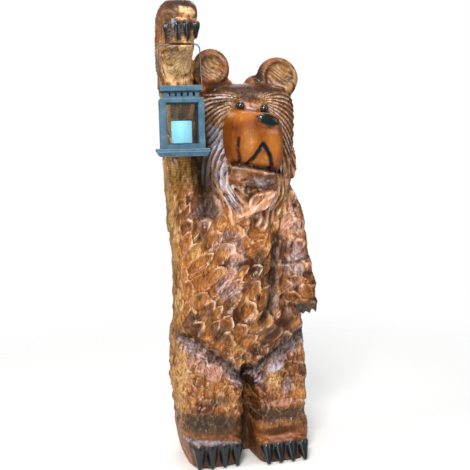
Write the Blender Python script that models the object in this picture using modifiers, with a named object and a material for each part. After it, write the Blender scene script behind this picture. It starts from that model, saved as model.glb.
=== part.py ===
"""Bear garden statue: a log carved as a standing bear that holds up a small candle lantern.

The bear faces -Y, +X is to the right of someone who looks at its face, and +Z is up.
The origin is on the ground, under the middle of the bear's underside.
"""

import math

import bmesh
import bpy
import numpy as np
from mathutils import Matrix, Vector

# Driving sizes of the figure, in metres
HEIGHT = 0.914
CLAY_GRAIN = 0.0034
BEAR_FACETS = 7550
FINE_FACETS = 14000

# The figure is drawn 914 units tall, so its points are shares of the height
DRAWN_HEIGHT = 914.0
UNIT = HEIGHT / DRAWN_HEIGHT
RING_SIDES = 48

# Clearance between pieces that touch, and the lantern's sizes
FIT_GAP = 0.0003
ROOF_WIDTH = 0.077
ROOF_THICKNESS = 0.010
ROOF_EDGE = 0.0015
VENT_WIDTH = 0.064
VENT_HEIGHT = 0.0115
VENT_SLOTS = 5
VENT_SLOT_WIDTH = 0.005
VENT_SLOT_HEIGHT = 0.007
BODY_WIDTH = 0.080
BODY_HEIGHT = 0.092
BODY_SHOULDER = 0.002
WALL = 0.004
POST_WIDTH = 0.010
WINDOW_SILL = 0.0075
WINDOW_HEAD = 0.0085
BASE_WIDTH = 0.096
BASE_FOOT_WIDTH = 0.086
BASE_THICKNESS = 0.0135
BASE_FACE = 0.005
BASE_BEVEL = 0.004
CANDLE_RADIUS = 0.0192
CANDLE_HEIGHT = 0.0405
CANDLE_DISH = 0.003
CANDLE_RIM = 0.003
CANDLE_EDGE = 0.001
SEAT_LIP = 0.0023
SEAT_HEIGHT = 0.010
PANE_THICKNESS = 0.0015
PANE_LAP = 0.002
WIRE_RADIUS = 0.0012
BAIL_TOP_WIDTH = 0.076
BAIL_DROP = 0.081
BAIL_CORNER = 0.009
BAIL_PIN = 0.004
WIRE_CLEARANCE = 0.001
EYE_RADIUS = 0.0086

WINDOW_WIDTH = BODY_WIDTH - 2 * POST_WIDTH
WINDOW_HEIGHT = BODY_HEIGHT - WINDOW_SILL - WINDOW_HEAD
ROOM_WIDTH = BODY_WIDTH - 2 * WALL
FLUE_WIDTH = VENT_WIDTH - 2 * WALL
PANE_WIDTH = ROOM_WIDTH - 2 * (PANE_THICKNESS + 2 * FIT_GAP)
SEAT_RADIUS = CANDLE_RADIUS + SEAT_LIP

# How the lantern hangs: turned a little, clear of the arm, its wire in a kerf under the claws
LANTERN_TURN = math.radians(-8.0)
LANTERN_X = -125.5 * UNIT
ARM_FRONT = -56.0 * UNIT
ARM_CLEARANCE = 0.002
KERF_CLEARANCE = 0.0009
KERF_OVERRUN = 0.020
KERF_HEIGHT = 2 * (WIRE_RADIUS + KERF_CLEARANCE)
KERF_LENGTH = BAIL_TOP_WIDTH + 2 * KERF_OVERRUN
KERF_REACH = 0.040
KERF_LIP = 0.010
KERF_Z = 824.5 * UNIT

BASE_REACH = BASE_WIDTH / 2 * (math.cos(LANTERN_TURN) + abs(math.sin(LANTERN_TURN)))
LANTERN_Y = ARM_FRONT - ARM_CLEARANCE - BASE_REACH
PAW_FRONT = (LANTERN_Y - WIRE_RADIUS - KERF_LIP) / UNIT

# The head's tilt, and the middle of the face and how far it reaches from there
HEAD_SLOPE = 0.18
FACE_MIDDLE = (20.0, 652.0)
FACE_REACH = (60.0, 66.0)


def clear_scene():
    for obj in list(bpy.data.objects):
        bpy.data.objects.remove(obj, do_unlink=True)


def new_collection(name):
    collection = bpy.data.collections.new(name)
    bpy.context.scene.collection.children.link(collection)
    return collection


def material(name, color, roughness, metallic=0.0, alpha=1.0):
    made = bpy.data.materials.new(name)
    made.use_nodes = True
    shader = made.node_tree.nodes["Principled BSDF"]
    shader.inputs["Base Color"].default_value = (*color, 1.0)
    shader.inputs["Roughness"].default_value = roughness
    shader.inputs["Metallic"].default_value = metallic
    shader.inputs["Alpha"].default_value = alpha
    made.diffuse_color = (*color, alpha)
    return made


def add_object(name, mesh, collection, finish=None):
    obj = bpy.data.objects.new(name, mesh)
    collection.objects.link(obj)
    if finish is not None:
        mesh.materials.clear()
        mesh.materials.append(finish)
    return obj


def mesh_from(bm, name):
    mesh = bpy.data.meshes.new(name)
    bm.to_mesh(mesh)
    bm.free()
    return mesh


# Clay: closed forms that overlap, in drawn units

def squared(angle, squareness):
    """A point of the rounded square of the given squareness; 2 is a circle."""
    c, s = math.cos(angle), math.sin(angle)
    power = 2.0 / squareness
    return math.copysign(abs(c) ** power, c), math.copysign(abs(s) ** power, s)


def skin(bm, loops):
    """Closes a row of rings into one form, from the first ring to the last."""
    count = len(loops[0])
    for low, high in zip(loops, loops[1:]):
        for k in range(count):
            after = (k + 1) % count
            bm.faces.new((low[k], low[after], high[after], high[k]))
    bm.faces.new(list(reversed(loops[0])))
    bm.faces.new(loops[-1])


def level_loft(bm, squareness, rings):
    """A form through level rings, each (height, left, right, front, back), from the bottom up."""
    loops = []
    for height, left, right, front, back in rings:
        loop = []
        for k in range(RING_SIDES):
            x, y = squared(2 * math.pi * k / RING_SIDES, squareness)
            across = (left + right) / 2 + x * (right - left) / 2
            deep = (front + back) / 2 + y * (back - front) / 2
            loop.append(bm.verts.new((across, deep, height)))
        loops.append(loop)
    skin(bm, loops)


def forward_loft(bm, squareness, rings, slope=0.0):
    """A form through upright rings, each (depth, left, right, bottom, top), from back to front;
    slope is how far it falls for each unit to the right of the face's middle."""
    loops = []
    for depth, left, right, bottom, top in rings:
        loop = []
        for k in range(RING_SIDES):
            x, z = squared(2 * math.pi * k / RING_SIDES, squareness)
            across = (left + right) / 2 + x * (right - left) / 2
            high = (bottom + top) / 2 + z * (top - bottom) / 2
            loop.append(bm.verts.new((across, depth, high - slope * (across - FACE_MIDDLE[0]))))
        loops.append(loop)
    skin(bm, loops)


def stamp(bm, small):
    """Adds a small form that was made by itself, which is quicker than making it in place."""
    mesh = mesh_from(small, "stamp")
    bm.from_mesh(mesh)
    bpy.data.meshes.remove(mesh)


def ball(bm, center, radii, tilt=0.0):
    """An ellipsoid, tilted clockwise as seen from the front by a number of degrees."""
    place = Matrix.Translation(center) @ Matrix.Rotation(math.radians(tilt), 4, "Y")
    shape = place @ Matrix.Diagonal((*radii, 1.0))
    small = bmesh.new()
    bmesh.ops.create_uvsphere(small, u_segments=24, v_segments=14, radius=1.0, matrix=shape)
    stamp(bm, small)


def lock(bm, points, widest, thick=0.7):
    """A tapering lock of hair along a few points, thickest near its root."""
    curve = [Vector(p) for p in points]
    steps = 4 * (len(curve) - 1)
    for step in range(steps + 1):
        t = step / steps
        place = t * (len(curve) - 1)
        k = min(int(place), len(curve) - 2)
        center = curve[k].lerp(curve[k + 1], place - k)
        size = widest * (1.0 - 0.75 * t ** 1.6)
        ball(bm, center, (size, size * thick, size * 1.15))


def claw(bm, top, tip, thick):
    """A claw that tapers from its root to a blunt tip."""
    root, end = Vector(top), Vector(tip)
    along = end - root
    turn = along.to_track_quat("Z", "Y").to_matrix().to_4x4()
    place = Matrix.Translation((root + end) / 2) @ turn
    small = bmesh.new()
    bmesh.ops.create_cone(
        small, cap_ends=True, segments=16, radius1=thick, radius2=thick * 0.32,
        depth=along.length, matrix=place,
    )
    stamp(bm, small)
    ball(bm, root, (thick, thick, thick))


def legs_and_body(bm):
    level_loft(bm, 4.2, [
        (-20, -118, -16, -84, 64), (0, -121, -14, -86, 66), (27, -127, -10, -84, 68),
        (55, -132, -6, -79, 69), (80, -136, -2, -76, 70), (110, -141, 2, -82, 70),
        (140, -143, 4, -85, 70), (170, -145, 4, -86, 70), (205, -146, 3, -86, 70),
        (240, -144, 0, -80, 70), (280, -134, 0, -66, 66),
    ])
    level_loft(bm, 4.2, [
        (-20, 16, 126, -84, 64), (0, 15, 130, -86, 66), (27, 15, 134, -84, 68),
        (55, 16, 137, -80, 69), (80, 17, 136, -78, 70), (110, 17, 137, -82, 70),
        (140, 14, 138, -85, 70), (170, 6, 139, -86, 70), (205, -2, 138, -86, 70),
        (240, -5, 137, -80, 70), (280, -5, 130, -66, 66),
    ])
    # the wood left between the legs
    level_loft(bm, 6.0, [(-20, -60, 60, -16, 62), (235, -60, 60, -16, 62)])
    # belly, chest and shoulders
    level_loft(bm, 3.6, [
        (190, -120, 118, -66, 66), (222, -140, 137, -82, 70), (263, -139, 136, -87, 72),
        (294, -134, 131, -89, 73), (325, -131, 126, -89, 74), (377, -132, 122, -87, 75),
        (420, -133, 122, -85, 75), (460, -136, 126, -81, 74), (500, -138, 132, -75, 72),
        (530, -139, 130, -68, 70), (560, -139, 122, -61, 68), (590, -139, 116, -54, 64),
        (615, -139, 100, -44, 58), (640, -118, 60, -24, 48),
    ])


def feet(bm):
    level_loft(bm, 4.5, [
        (-20, -114, -22, -90, 0), (0, -117, -21, -91, 0), (30, -124, -20, -89, 0),
        (52, -129, -19, -88, 0), (58, -129, -19, -84, 0),
    ])
    level_loft(bm, 4.5, [
        (-20, 18, 112, -101, 0), (0, 17, 114, -102, 0), (22, 16, 116, -97, 0),
        (38, 14, 118, -93, 0), (44, 14, 118, -87, 0),
    ])
    for k in range(4):
        side = -107.0 + 25.5 * k
        claw(bm, (side + 1, -86, 42), (side - 2, -100, 1), 13)
        side = 30.0 + 25.5 * k
        claw(bm, (side + 1, -93, 32), (side, -114, 1), 13)


def raised_arm(bm):
    level_loft(bm, 5.5, [
        (460, -136, -86, -57, 52), (550, -139, -80, -56, 50), (617, -141, -80, -56, 44),
        (700, -143, -81, -56, 36), (761, -146, -83, -56, 30), (796, -152, -84, -56, 27),
        (830, -152, -84, -56, 26), (850, -152, -84, -56, 26),
    ])
    # the wood left between the arm and the head
    level_loft(bm, 3.0, [
        (560, -112, -30, -22, 56), (680, -108, -36, -20, 48), (735, -102, -46, -16, 34),
        (774, -96, -58, -10, 16),
    ])
    # the corbel under the paw, then the closed paw
    under = PAW_FRONT + 12
    level_loft(bm, 4.2, [
        (758, -144, -88, -50, 24), (768, -148, -87, -60, 24), (792, -152, -88, under + 28, 24),
        (812, -152, -89, under, 24), (818, -152, -89, PAW_FRONT + 3, 24),
        (830, -152, -90, PAW_FRONT, 25), (850, -152, -88, PAW_FRONT - 1, 25),
        (868, -152, -85, PAW_FRONT + 2, 24), (884, -151, -82, PAW_FRONT + 10, 20),
        (897, -147, -82, PAW_FRONT + 22, 13), (908, -141, -87, PAW_FRONT + 36, 2),
        (914.4, -131, -96, PAW_FRONT + 50, -14),
    ])


def paw_claws(bm):
    front = PAW_FRONT + 1
    for side, depth in ((-147, front + 20), (-130, front + 2), (-112, front - 1), (-94, front + 3)):
        claw(bm, (side, depth, 860), (side + 1, depth - 2, 831), 8.5)


def hanging_arm(bm):
    level_loft(bm, 3.4, [
        (296, 104, 140, -80, 26), (308, 97, 149, -92, 28), (325, 95, 153, -98, 30),
        (350, 94, 154, -99, 34), (377, 91, 151, -94, 40), (400, 88, 147, -88, 46),
        (432, 84, 143, -82, 54), (478, 78, 140, -73, 60), (515, 70, 137, -64, 58),
        (545, 62, 126, -50, 52),
    ])
    for k in range(4):
        side = 102 + 14.5 * k
        claw(bm, (side, -90 + 4 * k, 318), (side + 2, -86 + 4 * k, 290), 8.0)


def head(bm):
    level_loft(bm, 2.7, [
        (505, -34, 108, -70, 62), (530, -42, 114, -76, 66), (560, -48, 118, -80, 68),
        (600, -54, 120, -84, 70), (640, -60, 124, -85, 70), (680, -65, 127, -83, 68),
        (710, -66, 128, -78, 64), (733, -60, 124, -68, 57), (748, -46, 112, -54, 46),
        (757, -22, 86, -36, 28),
    ])
    # ears
    ball(bm, (-46, -26, 786), (38, 19, 40), 6)
    ball(bm, (91, -26, 767), (44, 19, 42), 24)
    ball(bm, (-40, -14, 752), (36, 24, 26))
    ball(bm, (76, -14, 736), (46, 24, 30))
    ball(bm, (-18, -16, 750), (22, 20, 20), 40)
    ball(bm, (46, -16, 750), (26, 20, 24), -50)


def face(bm):
    # muzzle, turned to the right and tipped like the head
    forward_loft(bm, 3.8, [
        (-50, -42, 80, 592, 710), (-84, -38, 76, 593, 703), (-106, -31, 73, 594, 699),
        (-122, -20, 69, 597, 698), (-132, -8, 65, 602, 697), (-139, 4, 60, 611, 695),
        (-143, 14, 55, 624, 690),
    ], HEAD_SLOPE)
    # nose
    forward_loft(bm, 2.8, [
        (-128, 8, 55, 668, 698), (-147, 9, 55, 669, 698), (-152, 12, 52, 672, 695),
        (-155, 19, 46, 677, 690),
    ], HEAD_SLOPE)
    # brows behind the eyes
    ball(bm, (-26, -62, 727), (32, 16, 11), -8)
    ball(bm, (72, -60, 720), (32, 16, 11), 26)
    # lower lip and jaw
    forward_loft(bm, 3.0, [
        (-50, -38, 70, 556, 602), (-92, -36, 66, 558, 600), (-108, -28, 60, 566, 597),
        (-117, -16, 52, 574, 593), (-121, -2, 42, 580, 590),
    ], HEAD_SLOPE)


def beard(bm):
    level_loft(bm, 2.4, [
        (484, 4, 20, -80, -50), (506, -16, 38, -86, -40), (540, -34, 58, -88, -30),
        (575, -44, 72, -86, -30), (604, -46, 76, -80, -30),
    ])
    ball(bm, (54, -82, 556), (17, 13, 34), 8)
    lock(bm, [(-48, -64, 624), (-54, -72, 584), (-46, -77, 545), (-18, -76, 492)], 14)
    lock(bm, [(-28, -80, 600), (-36, -86, 565), (-22, -88, 530), (2, -82, 494)], 14)
    lock(bm, [(-8, -94, 582), (-12, -98, 560), (4, -98, 538)], 14)
    lock(bm, [(26, -98, 576), (36, -99, 556), (22, -98, 536)], 14)
    lock(bm, [(68, -84, 598), (64, -93, 556), (40, -98, 524), (8, -97, 507), (-16, -88, 496)], 16)
    lock(bm, [(66, -80, 560), (62, -83, 528), (42, -79, 484)], 13)
    lock(bm, [(92, -64, 620), (94, -70, 580), (82, -72, 545), (70, -68, 512)], 14)
    lock(bm, [(112, -40, 620), (114, -48, 575), (102, -54, 535)], 13)


# Carving: how deep each place is cut, in drawn units

def scatter(column, row, seed):
    """A repeatable number from 0 to 1 for each cell of a grid."""
    return np.modf(np.abs(np.sin(column * 127.1 + row * 311.7 + seed * 74.7)) * 43758.5453)[0]


def fade(value, start, end):
    """0 at start, 1 at end, smooth between; start may be above end."""
    t = np.clip((value - start) / (end - start), 0.0, 1.0)
    return t * t * (3.0 - 2.0 * t)


def scallops(across, along, pitch, lean, seed):
    """Overlapping scooped cuts in rows, each with a steep curved head and a long tail; a positive
    lean turns the heads to the right."""
    c, s = math.cos(lean), math.sin(lean)
    a = (across * c - along * s) / pitch
    b = (along * c + across * s) / pitch
    deepest = np.zeros_like(a)
    for row_step in (-1, 0, 1, 2):
        row = np.floor(b) + row_step
        shift = 0.5 * np.mod(row, 2)
        for column_step in (-1, 0, 1):
            column = np.floor(a - shift) + column_step
            side = a - (column + 0.5 + shift + 0.45 * (scatter(column, row, seed) - 0.5))
            up = b - (row + 0.35 * (scatter(column, row, seed + 1) - 0.5))
            reach = (side / 0.62) ** 2 + np.where(up > 0, up / 0.42, up / 1.1) ** 2
            depth = 0.75 + 0.35 * scatter(column, row, seed + 2) - reach
            deepest = np.maximum(deepest, depth)
    return deepest


def stroke(x, z, points, width):
    """1 on a polyline seen from the front, falling to 0 at the given distance from it."""
    nearest = np.full_like(x, 1e9)
    for (x0, z0), (x1, z1) in zip(points, points[1:]):
        dx, dz = x1 - x0, z1 - z0
        t = np.clip(((x - x0) * dx + (z - z0) * dz) / (dx * dx + dz * dz), 0.0, 1.0)
        nearest = np.minimum(nearest, np.hypot(x - x0 - t * dx, z - z0 - t * dz))
    return np.clip(1.0 - nearest / width, 0.0, 1.0)


GROIN = [(-160, 279), (-96, 248), (-46, 208), (-4, 166), (30, 196), (70, 222), (160, 268)]
ARM_GROOVE = [(90, 470), (86, 430), (80, 360), (68, 292)]
ARMPIT = [(-86, 640), (-82, 600), (-70, 556), (-60, 524)]
KNUCKLES = [(-150, 877), (-84, 879)]
MOUTH_LEFT = [(24, 640), (-1, 604)]
MOUTH_RIGHT = [(24, 640), (36, 618), (45, 591)]
MOUTH_LINE = [(-36, 605), (12, 595), (66, 584)]
LIP_LINE = [(-19, 651), (-21, 629), (-15, 607)]
MANE_MIDDLE = (20.0, 716.0)
MANE_SWEEP = 0.006
LOCKS_ROUND_HEAD = 50


def beyond_face(x, z):
    """1 on the face's rounded square outline, less inside it and more outside."""
    across = np.abs(x - FACE_MIDDLE[0]) / FACE_REACH[0]
    high = np.abs(z - FACE_MIDDLE[1] + HEAD_SLOPE * (x - FACE_MIDDLE[0])) / FACE_REACH[1]
    return (across ** 3.5 + high ** 3.5) ** (1 / 3.5)


def carve_depth(points, normals):
    x, y, z = points.T
    front = fade(-normals[:, 1], 0.1, 0.5)
    in_front = fade(-y, 0.0, 12.0)
    ahead = fade(-y, 60.0, 80.0)

    # long creases
    deep = 15.0 * stroke(x, z, GROIN, 17) ** 1.2 * in_front * front
    deep += 14.0 * stroke(x, z, ARM_GROOVE, 13) * in_front * front
    deep += 16.0 * stroke(x, z, ARMPIT, 20) * fade(-y, 0.0, 20.0) * front

    # face
    lines = stroke(x, z, MOUTH_LEFT, 7) + stroke(x, z, MOUTH_RIGHT, 7)
    deep += 4.5 * np.clip(lines, 0, 1) * ahead * front
    deep += 7.0 * stroke(x, z, MOUTH_LINE, 8) * ahead * front
    deep += 3.0 * stroke(x, z, LIP_LINE, 5) * ahead * front
    deep += 5.0 * stroke(x, z, KNUCKLES, 7) * ahead

    # locks of the mane, round the face
    dx, dz = x - MANE_MIDDLE[0], z - MANE_MIDDLE[1]
    angle = np.arctan2(dz, dx)
    swept = angle + MANE_SWEEP * np.cos(angle) * (np.hypot(dx, dz) - 40.0)
    phase = swept * LOCKS_ROUND_HEAD / (2 * math.pi) + 0.3 * np.sin(x * 0.06 + z * 0.05)
    furrow = (1.0 - np.abs(np.sin(math.pi * phase))) ** 1.3
    away = np.hypot(x - FACE_MIDDLE[0], z - FACE_MIDDLE[1])
    mane = fade(beyond_face(x, z), 1.0, 1.12) * fade(z, 545.0, 580.0) * fade(z, 745.0, 730.0)
    mane *= fade(y, 60.0, 20.0) * fade(x, -78.0, -66.0)
    deep += 5.5 * furrow * mane

    # scooped cuts on the chest, belly, shoulders and arms
    wrap = x + np.where(y > 0, 1, 0.6) * y
    chest = fade(z, 168.0, 260.0 - 0.4 * np.abs(x)) * fade(z, 600.0, 540.0) * fade(away, 128.0, 150.0)
    low = fade(z, 262.0, 190.0) * fade(z, 20.0, 70.0)
    plain = 1.0 - 0.45 * fade(y, -10.0, 30.0)
    deep += 7.5 * scallops(wrap, z, 30.0, 0.55, 3) * chest * plain
    deep += 4.5 * scallops(wrap, z, 26.0, 0.15, 11) * low * plain
    back = fade(y, 0.0, 30.0) * fade(z, 560.0, 620.0) * fade(z, 760.0, 700.0)
    deep += 3.0 * scallops(wrap, z, 30.0, 0.0, 5) * back
    return deep


def cup_ears(points, normals):
    """How far back each point of the two ears is hollowed."""
    x, _, z = points.T
    front = fade(-normals[:, 1], 0.0, 0.4)
    hollow = np.zeros_like(x)
    for (middle_x, middle_z), radius in (((-46, 786), 28.0), ((92, 768), 32.0)):
        away = np.hypot(x - middle_x, z - middle_z) / radius
        hollow += 13.0 * np.clip(1 - away ** 3, 0, 1) * fade(z, middle_z - 26, middle_z - 8)
    return hollow * front


def evaluated_copy(obj, name):
    graph = bpy.context.evaluated_depsgraph_get()
    graph.update()
    made = bpy.data.meshes.new_from_object(obj.evaluated_get(graph))
    made.name = name
    return made


def modified(mesh, collection, kind, chosen=None, **settings):
    """The mesh that one modifier makes of a mesh, where chosen lists the points of its group."""
    helper = add_object("helper", mesh, collection)
    step = helper.modifiers.new(kind, kind)
    if chosen is not None:
        helper.vertex_groups.new(name="chosen").add(chosen, 1.0, "REPLACE")
        step.vertex_group = "chosen"
    for key, value in settings.items():
        setattr(step, key, value)
    result = evaluated_copy(helper, mesh.name)
    bpy.data.objects.remove(helper, do_unlink=True)
    return result


def fine_places(points):
    """The points of the face, the paws' claws and the toes, which keep smaller facets."""
    x, y, z = points.T
    face = (stroke(x, z, [(20, 690), (24, 600)], 70) > 0) & (y < -62)
    paw = (z > 822) & (z < 890) & (y < PAW_FRONT + 30)
    toes = (z < 60) & (y < -80)
    hand = (stroke(x, z, [(100, 300), (146, 300)], 22) > 0) & (y < -70)
    return [int(k) for k in np.flatnonzero(face | paw | toes | hand)]


def triangle_count(mesh):
    return sum(len(face.vertices) - 2 for face in mesh.polygons)


def points_and_normals(mesh):
    count = len(mesh.vertices)
    points = np.empty(count * 3)
    normals = np.empty(count * 3)
    mesh.vertices.foreach_get("co", points)
    mesh.vertex_normals.foreach_get("vector", normals)
    return points.reshape(-1, 3) / UNIT, normals.reshape(-1, 3)


def move_points(mesh, points):
    mesh.vertices.foreach_set("co", (points * UNIT).astype(np.float32).ravel())
    mesh.update()


def carved_mesh(collection):
    """The bear's clay forms made one, smoothed, carved and cut flat at the ground."""
    bm = bmesh.new()
    for form in (legs_and_body, feet, raised_arm, paw_claws, hanging_arm, head, face, beard):
        form(bm)
    bmesh.ops.scale(bm, vec=(UNIT, UNIT, UNIT), verts=bm.verts)
    mesh = mesh_from(bm, "bear")
    mesh = modified(mesh, collection, "REMESH", mode="VOXEL", voxel_size=CLAY_GRAIN)
    mesh = modified(mesh, collection, "SMOOTH", factor=0.5, iterations=3)
    points, normals = points_and_normals(mesh)
    points[:, 1] += cup_ears(points, normals)
    move_points(mesh, points)
    points, normals = points_and_normals(mesh)
    move_points(mesh, points - normals * carve_depth(points, normals)[:, None])
    mesh = modified(mesh, collection, "REMESH", mode="VOXEL", voxel_size=CLAY_GRAIN)
    mesh = modified(mesh, collection, "DECIMATE", ratio=FINE_FACETS / triangle_count(mesh))
    points, _ = points_and_normals(mesh)
    mesh = modified(
        mesh, collection, "DECIMATE", chosen=fine_places(points), invert_vertex_group=True,
        ratio=BEAR_FACETS / triangle_count(mesh),
    )
    bm = bmesh.new()
    bm.from_mesh(mesh)
    everything = bm.verts[:] + bm.edges[:] + bm.faces[:]
    cut = bmesh.ops.bisect_plane(
        bm, geom=everything, dist=1e-6, plane_co=(0, 0, 0), plane_no=(0, 0, 1), clear_inner=True
    )
    edges = [item for item in cut["geom_cut"] if isinstance(item, bmesh.types.BMEdge)]
    bmesh.ops.triangle_fill(bm, use_beauty=True, edges=edges, normal=(0, 0, -1))
    bmesh.ops.triangulate(bm, faces=bm.faces[:])
    return mesh_from(bm, "bear")


def build_bear(parts, cutters, finish):
    bear = add_object("bear", carved_mesh(cutters), parts, finish)
    middle = WIRE_RADIUS + FIT_GAP - KERF_REACH / 2
    kerf = box_mesh("kerf", (KERF_LENGTH, KERF_REACH, KERF_HEIGHT), (0, middle, 0))
    cutter = add_object("kerf_cutter", kerf, cutters)
    cutter.location = (LANTERN_X, LANTERN_Y, KERF_Z)
    cutter.rotation_euler = (0, 0, LANTERN_TURN)
    cut_away(bear, cutter)
    return bear


def cut_away(obj, cutter):
    cutter.hide_render = True
    cutter.display_type = "WIRE"
    step = obj.modifiers.new(cutter.name, "BOOLEAN")
    step.operation = "DIFFERENCE"
    step.object = cutter


EYES = {"eye_left": (-4, -86, 712), "eye_right": (43, -88, 706)}


def bead_mesh(name, radius):
    bm = bmesh.new()
    bmesh.ops.create_uvsphere(bm, u_segments=14, v_segments=9, radius=radius)
    mesh = mesh_from(bm, name)
    mesh.shade_smooth()
    return mesh


def build_eyes(parts, cutters, bear, finish):
    for name, place in EYES.items():
        eye = add_object(name, bead_mesh(name, EYE_RADIUS), parts, finish)
        socket = add_object(name + "_socket", bead_mesh(name + "_socket", EYE_RADIUS + FIT_GAP), cutters)
        eye.location = socket.location = Vector(place) * UNIT
        cut_away(bear, socket)


def box_mesh(name, size, center):
    bm = bmesh.new()
    bmesh.ops.create_cube(bm, size=1.0, matrix=Matrix.Translation(center) @ Matrix.Diagonal((*size, 1.0)))
    return mesh_from(bm, name)


def square_stack(name, levels):
    """A square form through (height, width) levels, from the bottom up."""
    bm = bmesh.new()
    loops = []
    for height, width in levels:
        half = width / 2
        corners = ((-half, -half), (half, -half), (half, half), (-half, half))
        loops.append([bm.verts.new((x, y, height)) for x, y in corners])
    skin(bm, loops)
    return mesh_from(bm, name)


# Heights in the lantern, from the wire's bar down
PIVOT_Z = -BAIL_DROP
ROOF_TOP = PIVOT_Z + ROOF_THICKNESS / 2
ROOF_FOOT = ROOF_TOP - ROOF_THICKNESS
VENT_TOP = ROOF_FOOT - FIT_GAP
BODY_TOP = VENT_TOP - VENT_HEIGHT
BODY_FOOT = BODY_TOP - BODY_HEIGHT
BASE_TOP = BODY_FOOT - FIT_GAP
BASE_FOOT = BASE_TOP - BASE_THICKNESS
SEAT_TOP = BASE_TOP + SEAT_HEIGHT


def hang(obj, lantern):
    obj.parent = lantern
    return obj


def build_roof(parts, cutters, lantern, finish):
    mesh = square_stack("lantern_roof", [
        (ROOF_FOOT, ROOF_WIDTH - ROOF_EDGE), (ROOF_FOOT + ROOF_EDGE, ROOF_WIDTH),
        (ROOF_TOP - ROOF_EDGE, ROOF_WIDTH), (ROOF_TOP, ROOF_WIDTH - 2 * ROOF_EDGE),
    ])
    roof = hang(add_object("lantern_roof", mesh, parts, finish), lantern)
    for side in (-1, 1):
        bm = bmesh.new()
        length = 2 * BAIL_PIN + 2 * FIT_GAP
        radius = WIRE_RADIUS + FIT_GAP
        bmesh.ops.create_cone(
            bm, cap_ends=True, segments=10, radius1=radius, radius2=radius, depth=length,
            matrix=Matrix.Rotation(math.pi / 2, 4, "Y"),
        )
        hole = hang(add_object(f"pin_hole_{side}", mesh_from(bm, "pin_hole"), cutters), lantern)
        hole.location = (side * ROOF_WIDTH / 2, 0, PIVOT_Z)
        cut_away(roof, hole)


def build_frame(parts, cutters, lantern, finish):
    mesh = square_stack("lantern_frame", [
        (BODY_FOOT, BODY_WIDTH), (BODY_TOP - BODY_SHOULDER, BODY_WIDTH),
        (BODY_TOP, BODY_WIDTH - 2 * BODY_SHOULDER), (BODY_TOP, VENT_WIDTH), (VENT_TOP, VENT_WIDTH),
    ])
    frame = hang(add_object("lantern_frame", mesh, parts, finish), lantern)
    inside = square_stack("inside", [
        (BODY_FOOT - WALL, ROOM_WIDTH), (BODY_TOP - WALL, ROOM_WIDTH),
        (BODY_TOP - WALL, FLUE_WIDTH), (VENT_TOP + WALL, FLUE_WIDTH),
    ])
    cut_away(frame, hang(add_object("inside_cutter", inside, cutters), lantern))
    middle = BODY_FOOT + WINDOW_SILL + WINDOW_HEIGHT / 2
    through = BODY_WIDTH + 2 * WALL
    for label, size in (
        ("window_x", (through, WINDOW_WIDTH, WINDOW_HEIGHT)),
        ("window_y", (WINDOW_WIDTH, through, WINDOW_HEIGHT)),
    ):
        cutter = add_object(label, box_mesh(label, size, (0, 0, middle)), cutters)
        cut_away(frame, hang(cutter, lantern))
    pitch = FLUE_WIDTH / VENT_SLOTS
    high = (BODY_TOP + VENT_TOP) / 2
    for k in range(VENT_SLOTS):
        offset = (k - (VENT_SLOTS - 1) / 2) * pitch
        for label, size, center in (
            (f"slot_x_{k}", (through, VENT_SLOT_WIDTH, VENT_SLOT_HEIGHT), (0, offset, high)),
            (f"slot_y_{k}", (VENT_SLOT_WIDTH, through, VENT_SLOT_HEIGHT), (offset, 0, high)),
        ):
            cutter = add_object(label, box_mesh(label, size, center), cutters)
            cut_away(frame, hang(cutter, lantern))


def build_base(parts, lantern, finish):
    mesh = square_stack("lantern_base", [
        (BASE_FOOT, BASE_FOOT_WIDTH), (BASE_FOOT + BASE_BEVEL, BASE_FOOT_WIDTH + BASE_BEVEL),
        (BASE_TOP - BASE_FACE, BASE_WIDTH), (BASE_TOP, BASE_WIDTH),
    ])
    base = hang(add_object("lantern_base", mesh, parts, finish), lantern)
    bm = bmesh.new()
    depth = SEAT_HEIGHT + BASE_THICKNESS / 2
    bmesh.ops.create_cone(
        bm, cap_ends=True, segments=28, radius1=SEAT_RADIUS, radius2=SEAT_RADIUS - CANDLE_EDGE,
        depth=depth, matrix=Matrix.Translation((0, 0, SEAT_TOP - depth / 2)),
    )
    seat = hang(add_object("candle_seat", mesh_from(bm, "candle_seat"), parts), lantern)
    seat.hide_render = True
    seat.display_type = "WIRE"
    step = base.modifiers.new("candle_seat", "BOOLEAN")
    step.operation = "UNION"
    step.object = seat


def build_panes(parts, lantern, finish):
    size = (PANE_WIDTH, PANE_THICKNESS, WINDOW_HEIGHT + 2 * PANE_LAP)
    inset = BODY_WIDTH / 2 - WALL - FIT_GAP - PANE_THICKNESS / 2
    middle = BODY_FOOT + WINDOW_SILL + WINDOW_HEIGHT / 2
    for name, quarter in (("front", 0), ("right", 1), ("back", 2), ("left", 3)):
        mesh = box_mesh("pane_" + name, size, (0, -inset, middle))
        pane = hang(add_object("lantern_pane_" + name, mesh, parts, finish), lantern)
        pane.rotation_euler = (0, 0, quarter * math.pi / 2)


def build_candle(parts, lantern, finish):
    foot = SEAT_TOP + FIT_GAP
    top = foot + CANDLE_HEIGHT
    outline = [
        (0, top - CANDLE_DISH), (CANDLE_RADIUS - 2 * CANDLE_RIM, top - CANDLE_DISH),
        (CANDLE_RADIUS - CANDLE_RIM, top - CANDLE_EDGE), (CANDLE_RADIUS - CANDLE_RIM / 2, top),
        (CANDLE_RADIUS, top - CANDLE_EDGE), (CANDLE_RADIUS, foot + CANDLE_EDGE),
        (CANDLE_RADIUS - CANDLE_EDGE, foot), (0, foot),
    ]
    bm = bmesh.new()
    verts = [bm.verts.new((x, 0, z)) for x, z in outline]
    for first, second in zip(verts, verts[1:]):
        bm.edges.new((first, second))
    candle = hang(add_object("candle", mesh_from(bm, "candle"), parts, finish), lantern)
    turn = candle.modifiers.new("turn", "SCREW")
    turn.steps = turn.render_steps = 24
    turn.use_merge_vertices = True
    turn.merge_threshold = 0.00005


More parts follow.
